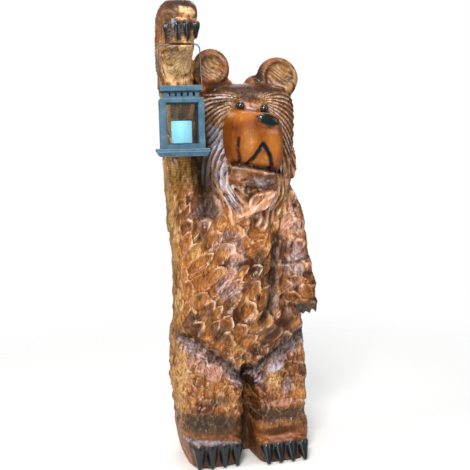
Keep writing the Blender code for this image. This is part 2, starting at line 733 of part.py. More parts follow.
def arc(center, radius, start, end, steps):
    """Points of an arc, its angles in degrees from +X towards +Z."""
    angles = [math.radians(start + (end - start) * k / steps) for k in range(steps + 1)]
    return [(center[0] + radius * math.cos(a), center[1] + radius * math.sin(a)) for a in angles]


def wire_path():
    """The wire's middle line, from one pin in the roof round to the other."""
    low = ROOF_WIDTH / 2 + WIRE_CLEARANCE + WIRE_RADIUS
    high = BAIL_TOP_WIDTH / 2
    bend = 2 * WIRE_RADIUS
    half = [(ROOF_WIDTH / 2 - BAIL_PIN + FIT_GAP, PIVOT_Z)]
    half += arc((low - bend, PIVOT_Z + bend), bend, -90, 0, 3)
    half += arc((high - BAIL_CORNER, -BAIL_CORNER), BAIL_CORNER, 0, 90, 5)
    return [(-x, z) for x, z in half] + half[::-1]


def build_bail(parts, lantern, finish):
    curve = bpy.data.curves.new("lantern_bail", "CURVE")
    curve.dimensions = "3D"
    curve.bevel_depth = WIRE_RADIUS
    curve.bevel_resolution = 1
    curve.use_fill_caps = True
    spline = curve.splines.new("POLY")
    path = wire_path()
    spline.points.add(len(path) - 1)
    for point, (x, z) in zip(spline.points, path):
        point.co = (x, 0, z, 1)
    curve.materials.append(finish)
    bail = bpy.data.objects.new("lantern_bail", curve)
    parts.objects.link(bail)
    hang(bail, lantern)


def main():
    clear_scene()
    parts = new_collection("bear_garden_statue")
    cutters = new_collection("cutters")
    wood = material("varnished_wood", (0.42, 0.18, 0.06), 0.25)
    black = material("eye_gloss", (0.01, 0.01, 0.01), 0.08)
    slate = material("lantern_slate", (0.07, 0.11, 0.15), 0.5)
    clear = material("lantern_clear", (0.9, 0.95, 1.0), 0.05, alpha=0.3)
    wax = material("candle_wax", (0.45, 0.83, 0.95), 0.5)
    wire = material("bail_wire", (0.32, 0.35, 0.38), 0.4, 0.8)

    bear = build_bear(parts, cutters, wood)
    build_eyes(parts, cutters, bear, black)
    lantern = bpy.data.objects.new("lantern", None)
    parts.objects.link(lantern)
    lantern.location = (LANTERN_X, LANTERN_Y, KERF_Z)
    lantern.rotation_euler = (0, 0, LANTERN_TURN)
    build_roof(parts, cutters, lantern, slate)
    build_frame(parts, cutters, lantern, slate)
    build_base(parts, lantern, slate)
    build_panes(parts, lantern, clear)
    build_candle(parts, lantern, wax)
    build_bail(parts, lantern, wire)


main()
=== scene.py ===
# %% [markdown]
# # A carved log bear that holds up a candle lantern
# The real object is one short log, roughed out with a chainsaw, cut with gouges, stained, scorched
# in its deep places and thickly varnished. A small lantern hangs under its raised paw by a wire.
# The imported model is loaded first: every piece below sits in the same frame, in metres.

import math

import bmesh
import bpy
import numpy as np
from mathutils import Matrix, Vector


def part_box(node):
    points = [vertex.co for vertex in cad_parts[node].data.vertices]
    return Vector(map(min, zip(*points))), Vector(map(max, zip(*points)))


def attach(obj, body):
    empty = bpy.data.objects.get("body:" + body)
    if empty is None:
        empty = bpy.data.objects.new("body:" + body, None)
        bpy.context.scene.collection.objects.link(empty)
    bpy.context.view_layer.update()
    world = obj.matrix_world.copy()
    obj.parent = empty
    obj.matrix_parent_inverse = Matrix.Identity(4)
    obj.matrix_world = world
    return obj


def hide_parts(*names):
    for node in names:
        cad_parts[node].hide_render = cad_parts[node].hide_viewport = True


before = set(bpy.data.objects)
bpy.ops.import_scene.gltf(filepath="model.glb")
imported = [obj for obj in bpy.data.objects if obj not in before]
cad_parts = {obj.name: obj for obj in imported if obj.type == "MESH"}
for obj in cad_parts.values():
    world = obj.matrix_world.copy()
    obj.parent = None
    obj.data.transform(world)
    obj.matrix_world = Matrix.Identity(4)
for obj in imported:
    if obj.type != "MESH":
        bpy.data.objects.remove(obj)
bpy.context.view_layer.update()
print("CAD nodes:", sorted(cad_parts))

# %% [markdown]
# ## The view
# A long lens at the height of the bear's face, a little to its right-hand side, gives the
# picture's calm perspective. It could be guessed from the setting, but here it follows from where
# the paw, the feet and the lantern are in the picture: they fix the distance, turn and tilt.

# %% Camera
CAMERA_AZIMUTH = math.radians(-15.0)
CAMERA_ELEVATION = math.radians(7.0)
CAMERA_ROLL = math.radians(1.5)
CAMERA_DISTANCE = 1.7
CAMERA_TARGET = Vector((0.0017, 0.0, 0.4526))
CAMERA_LENS = 63.33
SENSOR_WIDTH = 36.0


def seen_from(azimuth, elevation):
    """The direction from the object towards a place round it."""
    return Vector((
        math.sin(azimuth) * math.cos(elevation),
        -math.cos(azimuth) * math.cos(elevation),
        math.sin(elevation),
    ))


def placed(name, data):
    """Adds an object of a camera, lamp, curve or mesh to the scene."""
    obj = bpy.data.objects.new(name, data)
    bpy.context.scene.collection.objects.link(obj)
    return obj


def facing(direction):
    """The turn that points Z along a direction."""
    return direction.to_track_quat("Z", "Y").to_matrix().to_4x4()


def aim(obj, place, direction, roll=0.0):
    """Puts a camera or a lamp at a place, looking against the given direction."""
    turn = Matrix.Rotation(-roll, 4, direction) @ facing(direction)
    obj.matrix_world = Matrix.Translation(place) @ turn


lens = bpy.data.cameras.new("camera")
lens.sensor_width = SENSOR_WIDTH
lens.lens = CAMERA_LENS
camera = placed("camera", lens)
back = seen_from(CAMERA_AZIMUTH, CAMERA_ELEVATION)
aim(camera, CAMERA_TARGET + back * CAMERA_DISTANCE, back, CAMERA_ROLL)
bpy.context.scene.camera = camera
print("camera at", [round(v, 3) for v in camera.location])

# %% [markdown]
# ## Shader trees
# Materials are trees of nodes. A small helper adds a node, sets its plain values and links the
# ones that come from another node, so that each finish below reads from top to bottom.

# %% Node helpers


def rgba(color):
    """A colour with its alpha; a socket stays as it is."""
    if isinstance(color, bpy.types.NodeSocket) or len(color) == 4:
        return color
    return (*color, 1.0)


class Tree:
    """Adds nodes to a node tree."""

    def __init__(self, tree):
        self.tree = tree

    def put(self, socket, value):
        """Links a value that comes from another node, and sets any other."""
        if isinstance(value, bpy.types.NodeSocket):
            self.tree.links.new(value, socket)
        else:
            socket.default_value = value

    def add(self, kind, inputs=None, out=0, **settings):
        made = self.tree.nodes.new(kind)
        for key, value in settings.items():
            setattr(made, key, value)
        for key, value in (inputs or {}).items():
            self.put(made.inputs[key], value)
        return made.outputs[out]

    def mix(self, share, first, second, blend="MIX"):
        """Colours: first where share is 0, second where it is 1."""
        values = {0: share, 6: rgba(first), 7: rgba(second)}
        return self.add("ShaderNodeMix", values, 2, data_type="RGBA", blend_type=blend)

    def between(self, share, first, second):
        """Numbers: first where share is 0, second where it is 1."""
        return self.add("ShaderNodeMix", {0: share, 2: first, 3: second})

    def math(self, kind, first, second=0.0):
        return self.add("ShaderNodeMath", {0: first, 1: second}, operation=kind)

    def times(self, first, second):
        return self.math("MULTIPLY", first, second)

    def span(self, value, low, high, to_low=0.0, to_high=1.0):
        """Stretches a value from low..high to to_low..to_high, and stops at both ends."""
        values = {0: value, 1: low, 2: high, 3: to_low, 4: to_high}
        return self.add("ShaderNodeMapRange", values)

    def ramp(self, value, *stops):
        """Colours along a value; each stop is a place from 0 to 1 and a colour."""
        made = self.tree.nodes.new("ShaderNodeValToRGB")
        self.put(made.inputs[0], value)
        band = made.color_ramp
        while len(band.elements) < len(stops):
            band.elements.new(0.5)
        for element, (place, color) in zip(band.elements, stops):
            element.position = place
            element.color = rgba(color)
        return made.outputs[0]

    def noise(self, place, scale, detail=3.0, rough=0.55):
        values = {"Vector": place, "Scale": scale, "Detail": detail, "Roughness": rough}
        return self.add("ShaderNodeTexNoise", values)

    def stretch(self, place, by):
        """Places whose scale is changed, which pulls a pattern long where by is small."""
        return self.add("ShaderNodeMapping", {"Vector": place, "Scale": by})

    def attribute(self, name):
        return self.add("ShaderNodeAttribute", out="Fac", attribute_name=name)

    def bump(self, height, distance, strength, normal=None):
        values = {"Height": height, "Distance": distance, "Strength": strength}
        if normal is not None:
            values["Normal"] = normal
        return self.add("ShaderNodeBump", values)


def new_tree(kind, name, takes, gives):
    """An empty node tree whose named inputs and outputs are each (kind, name) or (kind, name, value)."""
    group = bpy.data.node_groups.new(name, kind)
    for way, sockets in (("INPUT", takes), ("OUTPUT", gives)):
        for socket_kind, label, *value in sockets:
            socket = group.interface.new_socket(label, in_out=way, socket_type="NodeSocket" + socket_kind)
            if value:
                socket.default_value = value[0]
    start = group.nodes.new("NodeGroupInput")
    end = group.nodes.new("NodeGroupOutput")
    return group, Tree(group), start.outputs, end.inputs


def new_material(name):
    """A material with one Principled BSDF; returns it, its tree and the shader's inputs."""
    made = bpy.data.materials.new(name)
    made.use_nodes = True
    shader = made.node_tree.nodes["Principled BSDF"]
    return made, Tree(made.node_tree), shader.inputs


def feed(tree, shader, **sources):
    """Links or sets inputs of the shader, whose names have _ for a space."""
    for key, value in sources.items():
        tree.put(shader[key.replace("_", " ")], value)


print("helpers ready")

# %% [markdown]
# ## Effects that several finishes share
# Streaks are what fibres, brush marks and wiped dust have in common: noise that is pulled long in
# one direction. Mottle is the uneven tone of anything that has stood outdoors. Both could be
# painted by hand; as groups they are made once and given other sizes in each material.

# %% Shared groups
streaks, tree, given, result = new_tree(
    "ShaderNodeTree", "Streaks",
    [("Vector", "Place"), ("Vector", "Stretch", (1.0, 1.0, 0.1)), ("Float", "Scale", 200.0)],
    [("Float", "Mask"), ("Float", "Fine")],
)
pulled = tree.stretch(given["Place"], given["Stretch"])
tree.put(result["Mask"], tree.noise(pulled, given["Scale"], 4.0, 0.6))
finer = tree.times(given["Scale"], 3.1)
tree.put(result["Fine"], tree.noise(pulled, finer, 2.0, 0.7))

mottle, tree, given, result = new_tree(
    "ShaderNodeTree", "Mottle",
    [("Vector", "Place"), ("Float", "Scale", 30.0), ("Float", "Grain", 400.0)],
    [("Float", "Mask"), ("Float", "Grain")],
)
patches = tree.noise(given["Place"], given["Scale"], 5.0, 0.62)
tree.put(result["Mask"], tree.span(patches, 0.32, 0.68))
tree.put(result["Grain"], tree.noise(given["Place"], given["Grain"], 2.0, 0.5))


def use(tree, group, **inputs):
    """Places a shared group in a material's tree; gives its two outputs, coarse and fine."""
    made = tree.tree.nodes.new("ShaderNodeGroup")
    made.node_tree = group
    for key, value in inputs.items():
        tree.put(made.inputs[key], value)
    return made.outputs


def object_place(tree):
    return tree.add("ShaderNodeTexCoord", out="Object")


print("groups:", [g.name for g in bpy.data.node_groups if g.type == "SHADER"])

# %% [markdown]
# ## The bear's clay
# Before it is carved, the figure is made of plain closed forms that overlap: lofts through
# rounded-square rings for the log's legs, body, arms and head, and small balls and cones for the
# ears, locks and claws. A sculptor would push one mesh about by hand; rings keep every width and
# depth as a number, and the figure is drawn 914 units tall, so a unit is a share of its height.

# %% Clay tools
HEIGHT = 0.914
UNIT = HEIGHT / 914.0
RING_SIDES = 64
HEAD_SLOPE = 0.18
FACE_MIDDLE = (20.0, 652.0)
FACE_REACH = (60.0, 66.0)
CLAW_TIP = 0.32
CLAW_TAPER = 0.68


def squared(angle, squareness):
    """A point of a rounded square; 2 is a circle."""
    c, s = math.cos(angle), math.sin(angle)
    power = 2.0 / squareness
    return math.copysign(abs(c) ** power, c), math.copysign(abs(s) ** power, s)


def skin(bm, loops):
    """Closes a row of rings into one form."""
    count = len(loops[0])
    for low, high in zip(loops, loops[1:]):
        for k in range(count):
            after = (k + 1) % count
            bm.faces.new((low[k], low[after], high[after], high[k]))
    bm.faces.new(list(reversed(loops[0])))
    bm.faces.new(loops[-1])


def loft(bm, squareness, rings, upright=False):
    """A form through rings: (height, left, right, front, back), or, where upright, (depth, left,
    right, bottom, top) and tilted like the head."""
    loops = []
    for place, left, right, near, far in rings:
        loop = []
        for k in range(RING_SIDES):
            x, y = squared(2 * math.pi * k / RING_SIDES, squareness)
            across = (left + right) / 2 + x * (right - left) / 2
            other = (near + far) / 2 + y * (far - near) / 2
            tilted = other - HEAD_SLOPE * (across - FACE_MIDDLE[0])
            point = (across, place, tilted) if upright else (across, other, place)
            loop.append(bm.verts.new(point))
        loops.append(loop)
    skin(bm, loops)


def mesh_from(bm, name):
    """The mesh that a finished bmesh stands for."""
    mesh = bpy.data.meshes.new(name)
    bm.to_mesh(mesh)
    bm.free()
    return mesh


def stamp(bm, small):
    """Adds one small form to the figure."""
    mesh = mesh_from(small, "stamp")
    bm.from_mesh(mesh)
    bpy.data.meshes.remove(mesh)


def ball(bm, center, radii, tilt=0.0):
    """An ellipsoid, tilted clockwise as seen from the front by a number of degrees."""
    place = Matrix.Translation(center) @ Matrix.Rotation(math.radians(tilt), 4, "Y")
    small = bmesh.new()
    shape = place @ Matrix.Diagonal((*radii, 1.0))
    bmesh.ops.create_uvsphere(small, u_segments=32, v_segments=18, radius=1.0, matrix=shape)
    stamp(bm, small)


def lock(bm, points, widest, thick=0.7):
    """A tapering lock of hair along a few points."""
    curve = [Vector(p) for p in points]
    steps = 5 * (len(curve) - 1)
    for step in range(steps + 1):
        t = step / steps
        place = t * (len(curve) - 1)
        k = min(int(place), len(curve) - 2)
        size = widest * (1.0 - 0.75 * t ** 1.6)
        ball(bm, curve[k].lerp(curve[k + 1], place - k), (size, size * thick, size * 1.15))


def claw(bm, top, tip, thick):
    """A claw that tapers from its root to a blunt tip."""
    root, end = Vector(top), Vector(tip)
    along = end - root
    small = bmesh.new()
    bmesh.ops.create_cone(
        small, cap_ends=True, segments=24, radius1=thick, radius2=thick * CLAW_TIP,
        depth=along.length, matrix=Matrix.Translation((root + end) / 2) @ facing(along),
    )
    stamp(bm, small)
    ball(bm, root, (thick, thick, thick))


print("one unit is", UNIT * 1000, "mm")

# %% [markdown]
# ## Legs, body and arms
# Each table below is one part of the log, from the bottom up. The lantern decides how far the
# raised paw reaches forward: the wire hangs in a cut under its claws.

# %% Legs, body and arms
lantern_low, lantern_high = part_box("lantern_bail")
WIRE_Y = (lantern_low.y + lantern_high.y) / 2 / UNIT
WIRE_RADIUS = 0.0012
WOOD_BEFORE_WIRE = 10.0
PAW_FRONT = WIRE_Y - WIRE_RADIUS / UNIT - WOOD_BEFORE_WIRE / (UNIT * 1000)

PAW_CLAWS = [
    ((side, PAW_FRONT + 1 + push, 860), (side + 1, PAW_FRONT - 1 + push, 831), 8.5)
    for side, push in ((-147, 20), (-130, 2), (-112, -1), (-94, 3))
]
HAND_CLAWS = [
    ((102 + 14.5 * k, -90 + 4 * k, 318), (104 + 14.5 * k, -86 + 4 * k, 290), 8.0) for k in range(4)
]
TOES = [((-106 + 25.5 * k, -86, 42), (-109 + 25.5 * k, -100, 1), 13) for k in range(4)]
TOES += [((31 + 25.5 * k, -93, 32), (30 + 25.5 * k, -114, 1), 13) for k in range(4)]


def legs_and_body(bm):
    loft(bm, 4.2, [
        (-20, -118, -16, -84, 64), (0, -121, -14, -86, 66), (27, -127, -10, -84, 68),
        (55, -132, -6, -79, 69), (80, -136, -2, -76, 70), (110, -141, 2, -82, 70),
        (140, -143, 4, -85, 70), (170, -145, 4, -86, 70), (205, -146, 3, -86, 70),
        (240, -144, 0, -80, 70), (280, -134, 0, -66, 66),
    ])
    loft(bm, 4.2, [
        (-20, 16, 126, -84, 64), (0, 15, 130, -86, 66), (27, 15, 134, -84, 68),
        (55, 16, 137, -80, 69), (80, 17, 136, -78, 70), (110, 17, 137, -82, 70),
        (140, 14, 138, -85, 70), (170, 6, 139, -86, 70), (205, -2, 138, -86, 70),
        (240, -5, 137, -80, 70), (280, -5, 130, -66, 66),
    ])
    loft(bm, 6.0, [(-20, -60, 60, -16, 62), (235, -60, 60, -16, 62)])
    loft(bm, 3.6, [
        (190, -120, 118, -66, 66), (222, -140, 137, -82, 70), (263, -139, 136, -87, 72),
        (294, -134, 131, -89, 73), (325, -131, 126, -89, 74), (377, -132, 122, -87, 75),
        (420, -133, 122, -85, 75), (460, -136, 126, -81, 74), (500, -138, 132, -75, 72),
        (530, -139, 130, -68, 70), (560, -139, 122, -61, 68), (590, -139, 116, -54, 64),
        (615, -139, 100, -44, 58), (640, -118, 60, -24, 48),
    ])


def feet(bm):
    loft(bm, 4.5, [
        (-20, -114, -22, -90, 0), (0, -117, -21, -91, 0), (30, -124, -20, -89, 0),
        (52, -129, -19, -88, 0), (58, -129, -19, -84, 0),
    ])
    loft(bm, 4.5, [
        (-20, 18, 112, -101, 0), (0, 17, 114, -102, 0), (22, 16, 116, -97, 0),
        (38, 14, 118, -93, 0), (44, 14, 118, -87, 0),
    ])
    for toe in TOES:
        claw(bm, *toe)


def raised_arm(bm):
    loft(bm, 5.5, [
        (460, -136, -86, -57, 52), (550, -139, -80, -56, 50), (617, -141, -80, -56, 44),
        (700, -143, -81, -56, 36), (761, -146, -83, -56, 30), (796, -152, -84, -56, 27),
        (830, -152, -84, -56, 26), (850, -152, -84, -56, 26),
    ])
    loft(bm, 3.0, [
        (560, -112, -30, -22, 56), (680, -108, -36, -20, 48), (735, -102, -46, -16, 34),
        (774, -96, -58, -10, 16),
    ])
    under = PAW_FRONT + 12
    loft(bm, 4.2, [
        (758, -144, -88, -50, 24), (768, -148, -87, -60, 24), (792, -152, -88, under + 28, 24),
        (812, -152, -89, under, 24), (818, -152, -89, PAW_FRONT + 3, 24),
        (830, -152, -90, PAW_FRONT, 25), (850, -152, -88, PAW_FRONT - 1, 25),
        (868, -152, -85, PAW_FRONT + 2, 24), (884, -151, -82, PAW_FRONT + 10, 20),
        (897, -147, -82, PAW_FRONT + 22, 13), (908, -141, -87, PAW_FRONT + 36, 2),
        (914.4, -131, -96, PAW_FRONT + 50, -14),
    ])
    for nail in PAW_CLAWS:
        claw(bm, *nail)


def hanging_arm(bm):
    loft(bm, 3.4, [
        (296, 104, 140, -80, 26), (308, 97, 149, -92, 28), (325, 95, 153, -98, 30),
        (350, 94, 154, -99, 34), (377, 91, 151, -94, 40), (400, 88, 147, -88, 46),
        (432, 84, 143, -82, 54), (478, 78, 140, -73, 60), (515, 70, 137, -64, 58),
        (545, 62, 126, -50, 52),
    ])
    for nail in HAND_CLAWS:
        claw(bm, *nail)


print("paw front at", round(PAW_FRONT, 1), "units")

# %% [markdown]
# ## Head, face and beard
# The head is a rounded block that sits to the bear's left. Its muzzle and jaw are lofts that run
# forward and are tipped the same way, and the beard's thick locks hang from the jaw.

# %% Head, face and beard


def head(bm):
    loft(bm, 2.7, [
        (505, -34, 108, -70, 62), (530, -42, 114, -76, 66), (560, -48, 118, -80, 68),
        (600, -54, 120, -84, 70), (640, -60, 124, -85, 70), (680, -65, 127, -83, 68),
        (710, -66, 128, -78, 64), (733, -60, 124, -68, 57), (748, -46, 112, -54, 46),
        (757, -22, 86, -36, 28),
    ])
    ball(bm, (-46, -26, 786), (38, 19, 40), 6)
    ball(bm, (91, -26, 767), (44, 19, 42), 24)
    ball(bm, (-40, -14, 752), (36, 24, 26))
    ball(bm, (76, -14, 736), (46, 24, 30))
    ball(bm, (-18, -16, 750), (22, 20, 20), 40)
    ball(bm, (46, -16, 750), (26, 20, 24), -50)


def face(bm):
    loft(bm, 3.8, [
        (-50, -42, 80, 592, 710), (-84, -38, 76, 593, 703), (-106, -31, 73, 594, 699),
        (-122, -20, 69, 597, 698), (-132, -8, 65, 602, 697), (-139, 4, 60, 611, 695),
        (-143, 14, 55, 624, 690),
    ], upright=True)
    loft(bm, 2.8, [
        (-128, 8, 55, 668, 698), (-147, 9, 55, 669, 698), (-152, 12, 52, 672, 695),
        (-155, 19, 46, 677, 690),
    ], upright=True)
    ball(bm, (-26, -62, 727), (32, 16, 11), -8)
    ball(bm, (72, -60, 720), (32, 16, 11), 26)
    loft(bm, 3.0, [
        (-50, -38, 70, 556, 602), (-92, -36, 66, 558, 600), (-108, -28, 60, 566, 597),
        (-117, -16, 52, 574, 593), (-121, -2, 42, 580, 590),
    ], upright=True)


def beard(bm):
    loft(bm, 2.4, [
        (484, 4, 20, -80, -50), (506, -16, 38, -86, -40), (540, -34, 58, -88, -30),
        (575, -44, 72, -86, -30), (604, -46, 76, -80, -30),
    ])
    ball(bm, (54, -82, 556), (17, 13, 34), 8)
    lock(bm, [(-48, -64, 624), (-54, -72, 584), (-46, -77, 545), (-18, -76, 492)], 14)
    lock(bm, [(-28, -80, 600), (-36, -86, 565), (-22, -88, 530), (2, -82, 494)], 14)
    lock(bm, [(-8, -94, 582), (-12, -98, 560), (4, -98, 538)], 14)
    lock(bm, [(26, -98, 576), (36, -99, 556), (22, -98, 536)], 14)
    lock(bm, [(68, -84, 598), (64, -93, 556), (40, -98, 524), (8, -97, 507), (-16, -88, 496)], 16)
    lock(bm, [(66, -80, 560), (62, -83, 528), (42, -79, 484)], 13)
    lock(bm, [(92, -64, 620), (94, -70, 580), (82, -72, 545), (70, -68, 512)], 14)
    lock(bm, [(112, -40, 620), (114, -48, 575), (102, -54, 535)], 13)


FORMS = (legs_and_body, feet, raised_arm, hanging_arm, head, face, beard)
print(len(FORMS), "groups of forms")

# %% [markdown]
# ## Helpers for the carving
# A voxel remesh turns the overlapping forms into one even skin, as clay does when it is pressed
# together. The cuts are then worked out for all points of the skin at once, as plain sums on
# arrays, because a brush stroke can't be written down but a rule for a gouge cut can.

# %% Mesh helpers


def evaluated(helper):
    """The plain mesh of an object with its modifiers applied; the object itself is removed."""
    graph = bpy.context.evaluated_depsgraph_get()
    graph.update()
    made = bpy.data.meshes.new_from_object(helper.evaluated_get(graph))
    bpy.data.objects.remove(helper, do_unlink=True)
    return made


def modified(mesh, kind, chosen=None, **settings):
    """The mesh that one modifier makes of a mesh; chosen marks the points of its group."""
    helper = placed("helper", mesh)
    step = helper.modifiers.new(kind, kind)
    if chosen is not None:
        group = helper.vertex_groups.new(name="chosen")
        group.add(np.flatnonzero(chosen).tolist(), 1.0, "REPLACE")
        step.vertex_group = "chosen"
    for key, value in settings.items():
        setattr(step, key, value)
    return evaluated(helper)


def triangle_count(mesh):
    sizes = np.empty(len(mesh.polygons), int)
    mesh.polygons.foreach_get("loop_total", sizes)
    return int((sizes - 2).sum())


def points_and_normals(mesh):
    """The points in drawn units, and the way that the skin faces at each."""
    points = np.empty(len(mesh.vertices) * 3)
    normals = np.empty_like(points)
    mesh.vertices.foreach_get("co", points)
    mesh.vertex_normals.foreach_get("vector", normals)
    return points.reshape(-1, 3) / UNIT, normals.reshape(-1, 3)


def move_points(mesh, points):
    mesh.vertices.foreach_set("co", (points * UNIT).astype(np.float32).ravel())
    mesh.update()


print("mesh helpers ready")

# %% [markdown]
# ## Rules for marks
# Cuts and paint both start from a few marks: a soft edge, a band, a line, an oval and a row of
# gouge cuts. Each takes the places of all points and gives a number from 0 to 1 for each.

# %% Marks
FAR_OFF = 1e9
CUT_SIDE, CUT_HEAD, CUT_TAIL = 0.66, 0.45, 1.35
CUT_STRAY = 0.6
DAUB_EDGE = (1.40, 0.35)
CRISP_EDGE = (-1.0, 1.2)
MANY_CHANNELS = 1000.0


def fade(value, start, end):
    """0 at start, 1 at end, smooth between; start may be above end."""
    t = np.clip((value - start) / (end - start), 0.0, 1.0)
    return t * t * (3.0 - 2.0 * t)


def band(value, low, high, soft):
    """1 between low and high, 0 outside, over a soft edge."""
    return fade(value, low - soft, low) * fade(value, high + soft, high)


def scatter(column, row, seed):
    """A repeatable number from 0 to 1 for each cell of a grid."""
    return np.modf(np.abs(np.sin(column * 127.1 + row * 311.7 + seed * 74.7)) * 43758.5453)[0]


def ripple(x, z, size, seed):
    """Slow waves from -1 to 1, to keep rows of cuts from looking ruled."""
    first = np.sin(x / size + 1.7 * np.sin(z / size * 0.8 + seed))
    return 0.5 * (first + np.sin(z / size * 1.3 + 1.3 * np.sin(x / size * 0.7 + 2.0 * seed)))


def beside(x, z, lines):
    """The signed distance to the nearest of several lines of points, and how far off it is."""
    nearest, signed = np.full_like(x, FAR_OFF), np.zeros_like(x)
    for points in lines:
        for (x0, z0), (x1, z1) in zip(points, points[1:]):
            dx, dz = x1 - x0, z1 - z0
            t = np.clip(((x - x0) * dx + (z - z0) * dz) / (dx * dx + dz * dz), 0.0, 1.0)
            away = np.hypot(x - x0 - t * dx, z - z0 - t * dz)
            side = ((x - x0) * dz - (z - z0) * dx) / math.hypot(dx, dz)
            signed = np.where(away < nearest, side, signed)
            nearest = np.minimum(nearest, away)
    return signed, nearest


def stroke(x, z, points, width):
    """1 on a line of points seen from the front, falling to 0 at the given distance from it."""
    return np.clip(1.0 - beside(x, z, [points])[1] / width, 0.0, 1.0)


def daubs(x, z, places):
    """1 in each soft oval: (across, up, half width, half height) and, if it leans, its degrees."""
    mask = np.zeros_like(x)
    for across, up, wide, high, *lean in places:
        turn = math.radians(lean[0] if lean else 0)
        c, s = math.cos(turn), math.sin(turn)
        dx, dz = x - across, z - up
        away = np.hypot((dx * c + dz * s) / wide, (dz * c - dx * s) / high)
        mask = np.maximum(mask, fade(away, *DAUB_EDGE))
    return mask


def within(x, z, corners):
    """1 inside a convex outline, whose corners are given in clockwise order."""
    nearest = np.full_like(x, FAR_OFF)
    for (x0, z0), (x1, z1) in zip(corners, corners[1:] + corners[:1]):
        side = (x - x0) * (z1 - z0) - (z - z0) * (x1 - x0)
        nearest = np.minimum(nearest, side / math.hypot(x1 - x0, z1 - z0))
    return fade(nearest, *CRISP_EDGE)


def scoops(across, along, wide, long, lean, seed):
    """Overlapping gouge cuts, steep at the head and long at the tail: how deep each place is, the
    crest inside each cut's head, the shade just outside it, and each cut's own number."""
    c, s = math.cos(lean), math.sin(lean)
    a = (across * c - along * s) / wide
    b = (along * c + across * s) / long
    first, second, head, own = (np.zeros_like(a) for _ in range(4))
    for row_step in (-1, 0, 1, 2):
        row = np.floor(b) + row_step
        shift = 0.5 * np.mod(row, 2)
        for column_step in (-1, 0, 1):
            column = np.floor(a - shift) + column_step
            chance = [scatter(column, row, seed + k) for k in range(3)]
            side = a - (column + 0.5 + shift + CUT_STRAY * (chance[0] - 0.5))
            up = b - (row + CUT_STRAY * (chance[1] - 0.5))
            reach = (side / CUT_SIDE) ** 2 + np.where(up > 0, up / CUT_HEAD, up / CUT_TAIL) ** 2
            bowl = 0.65 + 0.55 * chance[2] - reach
            second = np.maximum(second, np.minimum(first, bowl))
            head = np.where(bowl > first, up, head)
            own = np.where(bowl > first, chance[0], own)
            first = np.maximum(first, bowl)
    gap = first - second
    crest = fade(gap, 0.50, 0.10) * fade(first, 0.0, 0.12) * fade(head, -0.08, 0.15)
    shade = fade(gap, 0.42, 0.10) * fade(first, 0.0, 0.12) * fade(head, -0.15, -0.35)
    return first, crest, shade, own


def off_middle(phase):
    """0 in the middle of each channel, and 1 on the crests between them, at whole numbers."""
    above_zero = phase + MANY_CHANNELS
    return np.abs(2.0 * np.modf(above_zero)[0] - 1.0)


def channels(phase, sharp=2.4):
    """Round-bottomed gouge channels side by side, with a thin crest at each whole number."""
    return 1.0 - off_middle(phase) ** sharp


def crest_of(phase):
    """1 on the thin crests between channels."""
    return fade(off_middle(phase), 0.40, 0.78)


def strongest(*masks):
    """The highest of several masks at each point."""
    return np.maximum.reduce(masks)


print("carving tools ready")

# %% [markdown]
# ## Where the cuts run
# Long lines are drawn as points on the front of the figure. The mane's channels run out from
# between the eyes and are swept down at the cheeks; the beard's run together to its tip.

# %% Lines on the figure
EARS = (((-46, 786), 28.0), ((92, 768), 32.0))
GROIN = [(-160, 279), (-96, 248), (-46, 208), (-4, 166), (30, 196), (70, 222), (160, 268)]
ARM_GROOVE = [(73, 456), (69, 430), (64, 389), (57, 349), (50, 312), (34, 286)]
ARM_EDGE = [(88, 446), (88, 420), (85, 360), (79, 300)]
ARMPIT = [(-80, 648), (-78, 604), (-72, 562), (-66, 514)]
KNUCKLES = [(-150, 877), (-84, 873)]
MOUTH = [(-1, 604), (24, 640), (36, 618), (45, 591)]
MOUTH_LINE = [(-36, 605), (12, 595), (66, 584)]
LIP_LINE = [(-19, 651), (-21, 629), (-15, 607)]
FOREARM_CUTS = [
    [(80, 398), (108, 401), (146, 412)], [(112, 374), (128, 378), (146, 376)], [(78, 331), (146, 325)],
]
JAW_CUTS = [[(-28, 588), (10, 580), (52, 573)], [(-12, 560), (18, 552), (57, 548)]]
CHIN_LOCK = (-1, 554, 15, 17)
MANE_MIDDLE = (20.0, 716.0)
MANE_SWEEP = 0.006
MANE_LOCKS = 56
THIGH_BANDS = [
    [(-134, 254), (-98, 232), (-50, 196), (-12, 162)], [(6, 158), (30, 180), (70, 207), (140, 246)],
]
BEARD_LINES = [
    [(-52, 600), (-54, 580), (-46, 545), (-20, 494)], [(-32, 590), (-36, 565), (-22, 530), (2, 494)],
    [(68, 598), (64, 556), (40, 526), (8, 509), (-18, 496)], [(66, 560), (62, 528), (42, 479)],
    [(92, 610), (94, 580), (82, 545), (68, 508)], [(48, 548), (30, 540), (14, 520)],
]

print(len(BEARD_LINES), "locks in the beard,", MANE_LOCKS, "channels in the mane")

# %% Zones and flows


def lifted(x, z):
    """The height of a place on the head, as if the head weren't tilted."""
    return z + HEAD_SLOPE * (x - FACE_MIDDLE[0])


def beyond_face(x, z):
    """1 on the face's rounded square outline, less inside it and more outside."""
    across = np.abs(x - FACE_MIDDLE[0]) / FACE_REACH[0]
    high = np.abs(z - FACE_MIDDLE[1] + HEAD_SLOPE * (x - FACE_MIDDLE[0])) / FACE_REACH[1]
    return (across ** 3.5 + high ** 3.5) ** (1 / 3.5)


def muzzle_zone(x, y, z):
    """1 on the smooth muzzle, whose upper left corner is well rounded."""
    high = lifted(x, z)
    corner = np.hypot((x + 2.0) / 35.0, (high - 660.0) / 43.0)
    rounded_off = np.where((x < -2.0) & (high > 660.0), fade(corner, 1.06, 0.96), 1.0)
    return fade(beyond_face(x, z), 1.03, 0.97) * fade(-y, 72.0, 80.0) * rounded_off


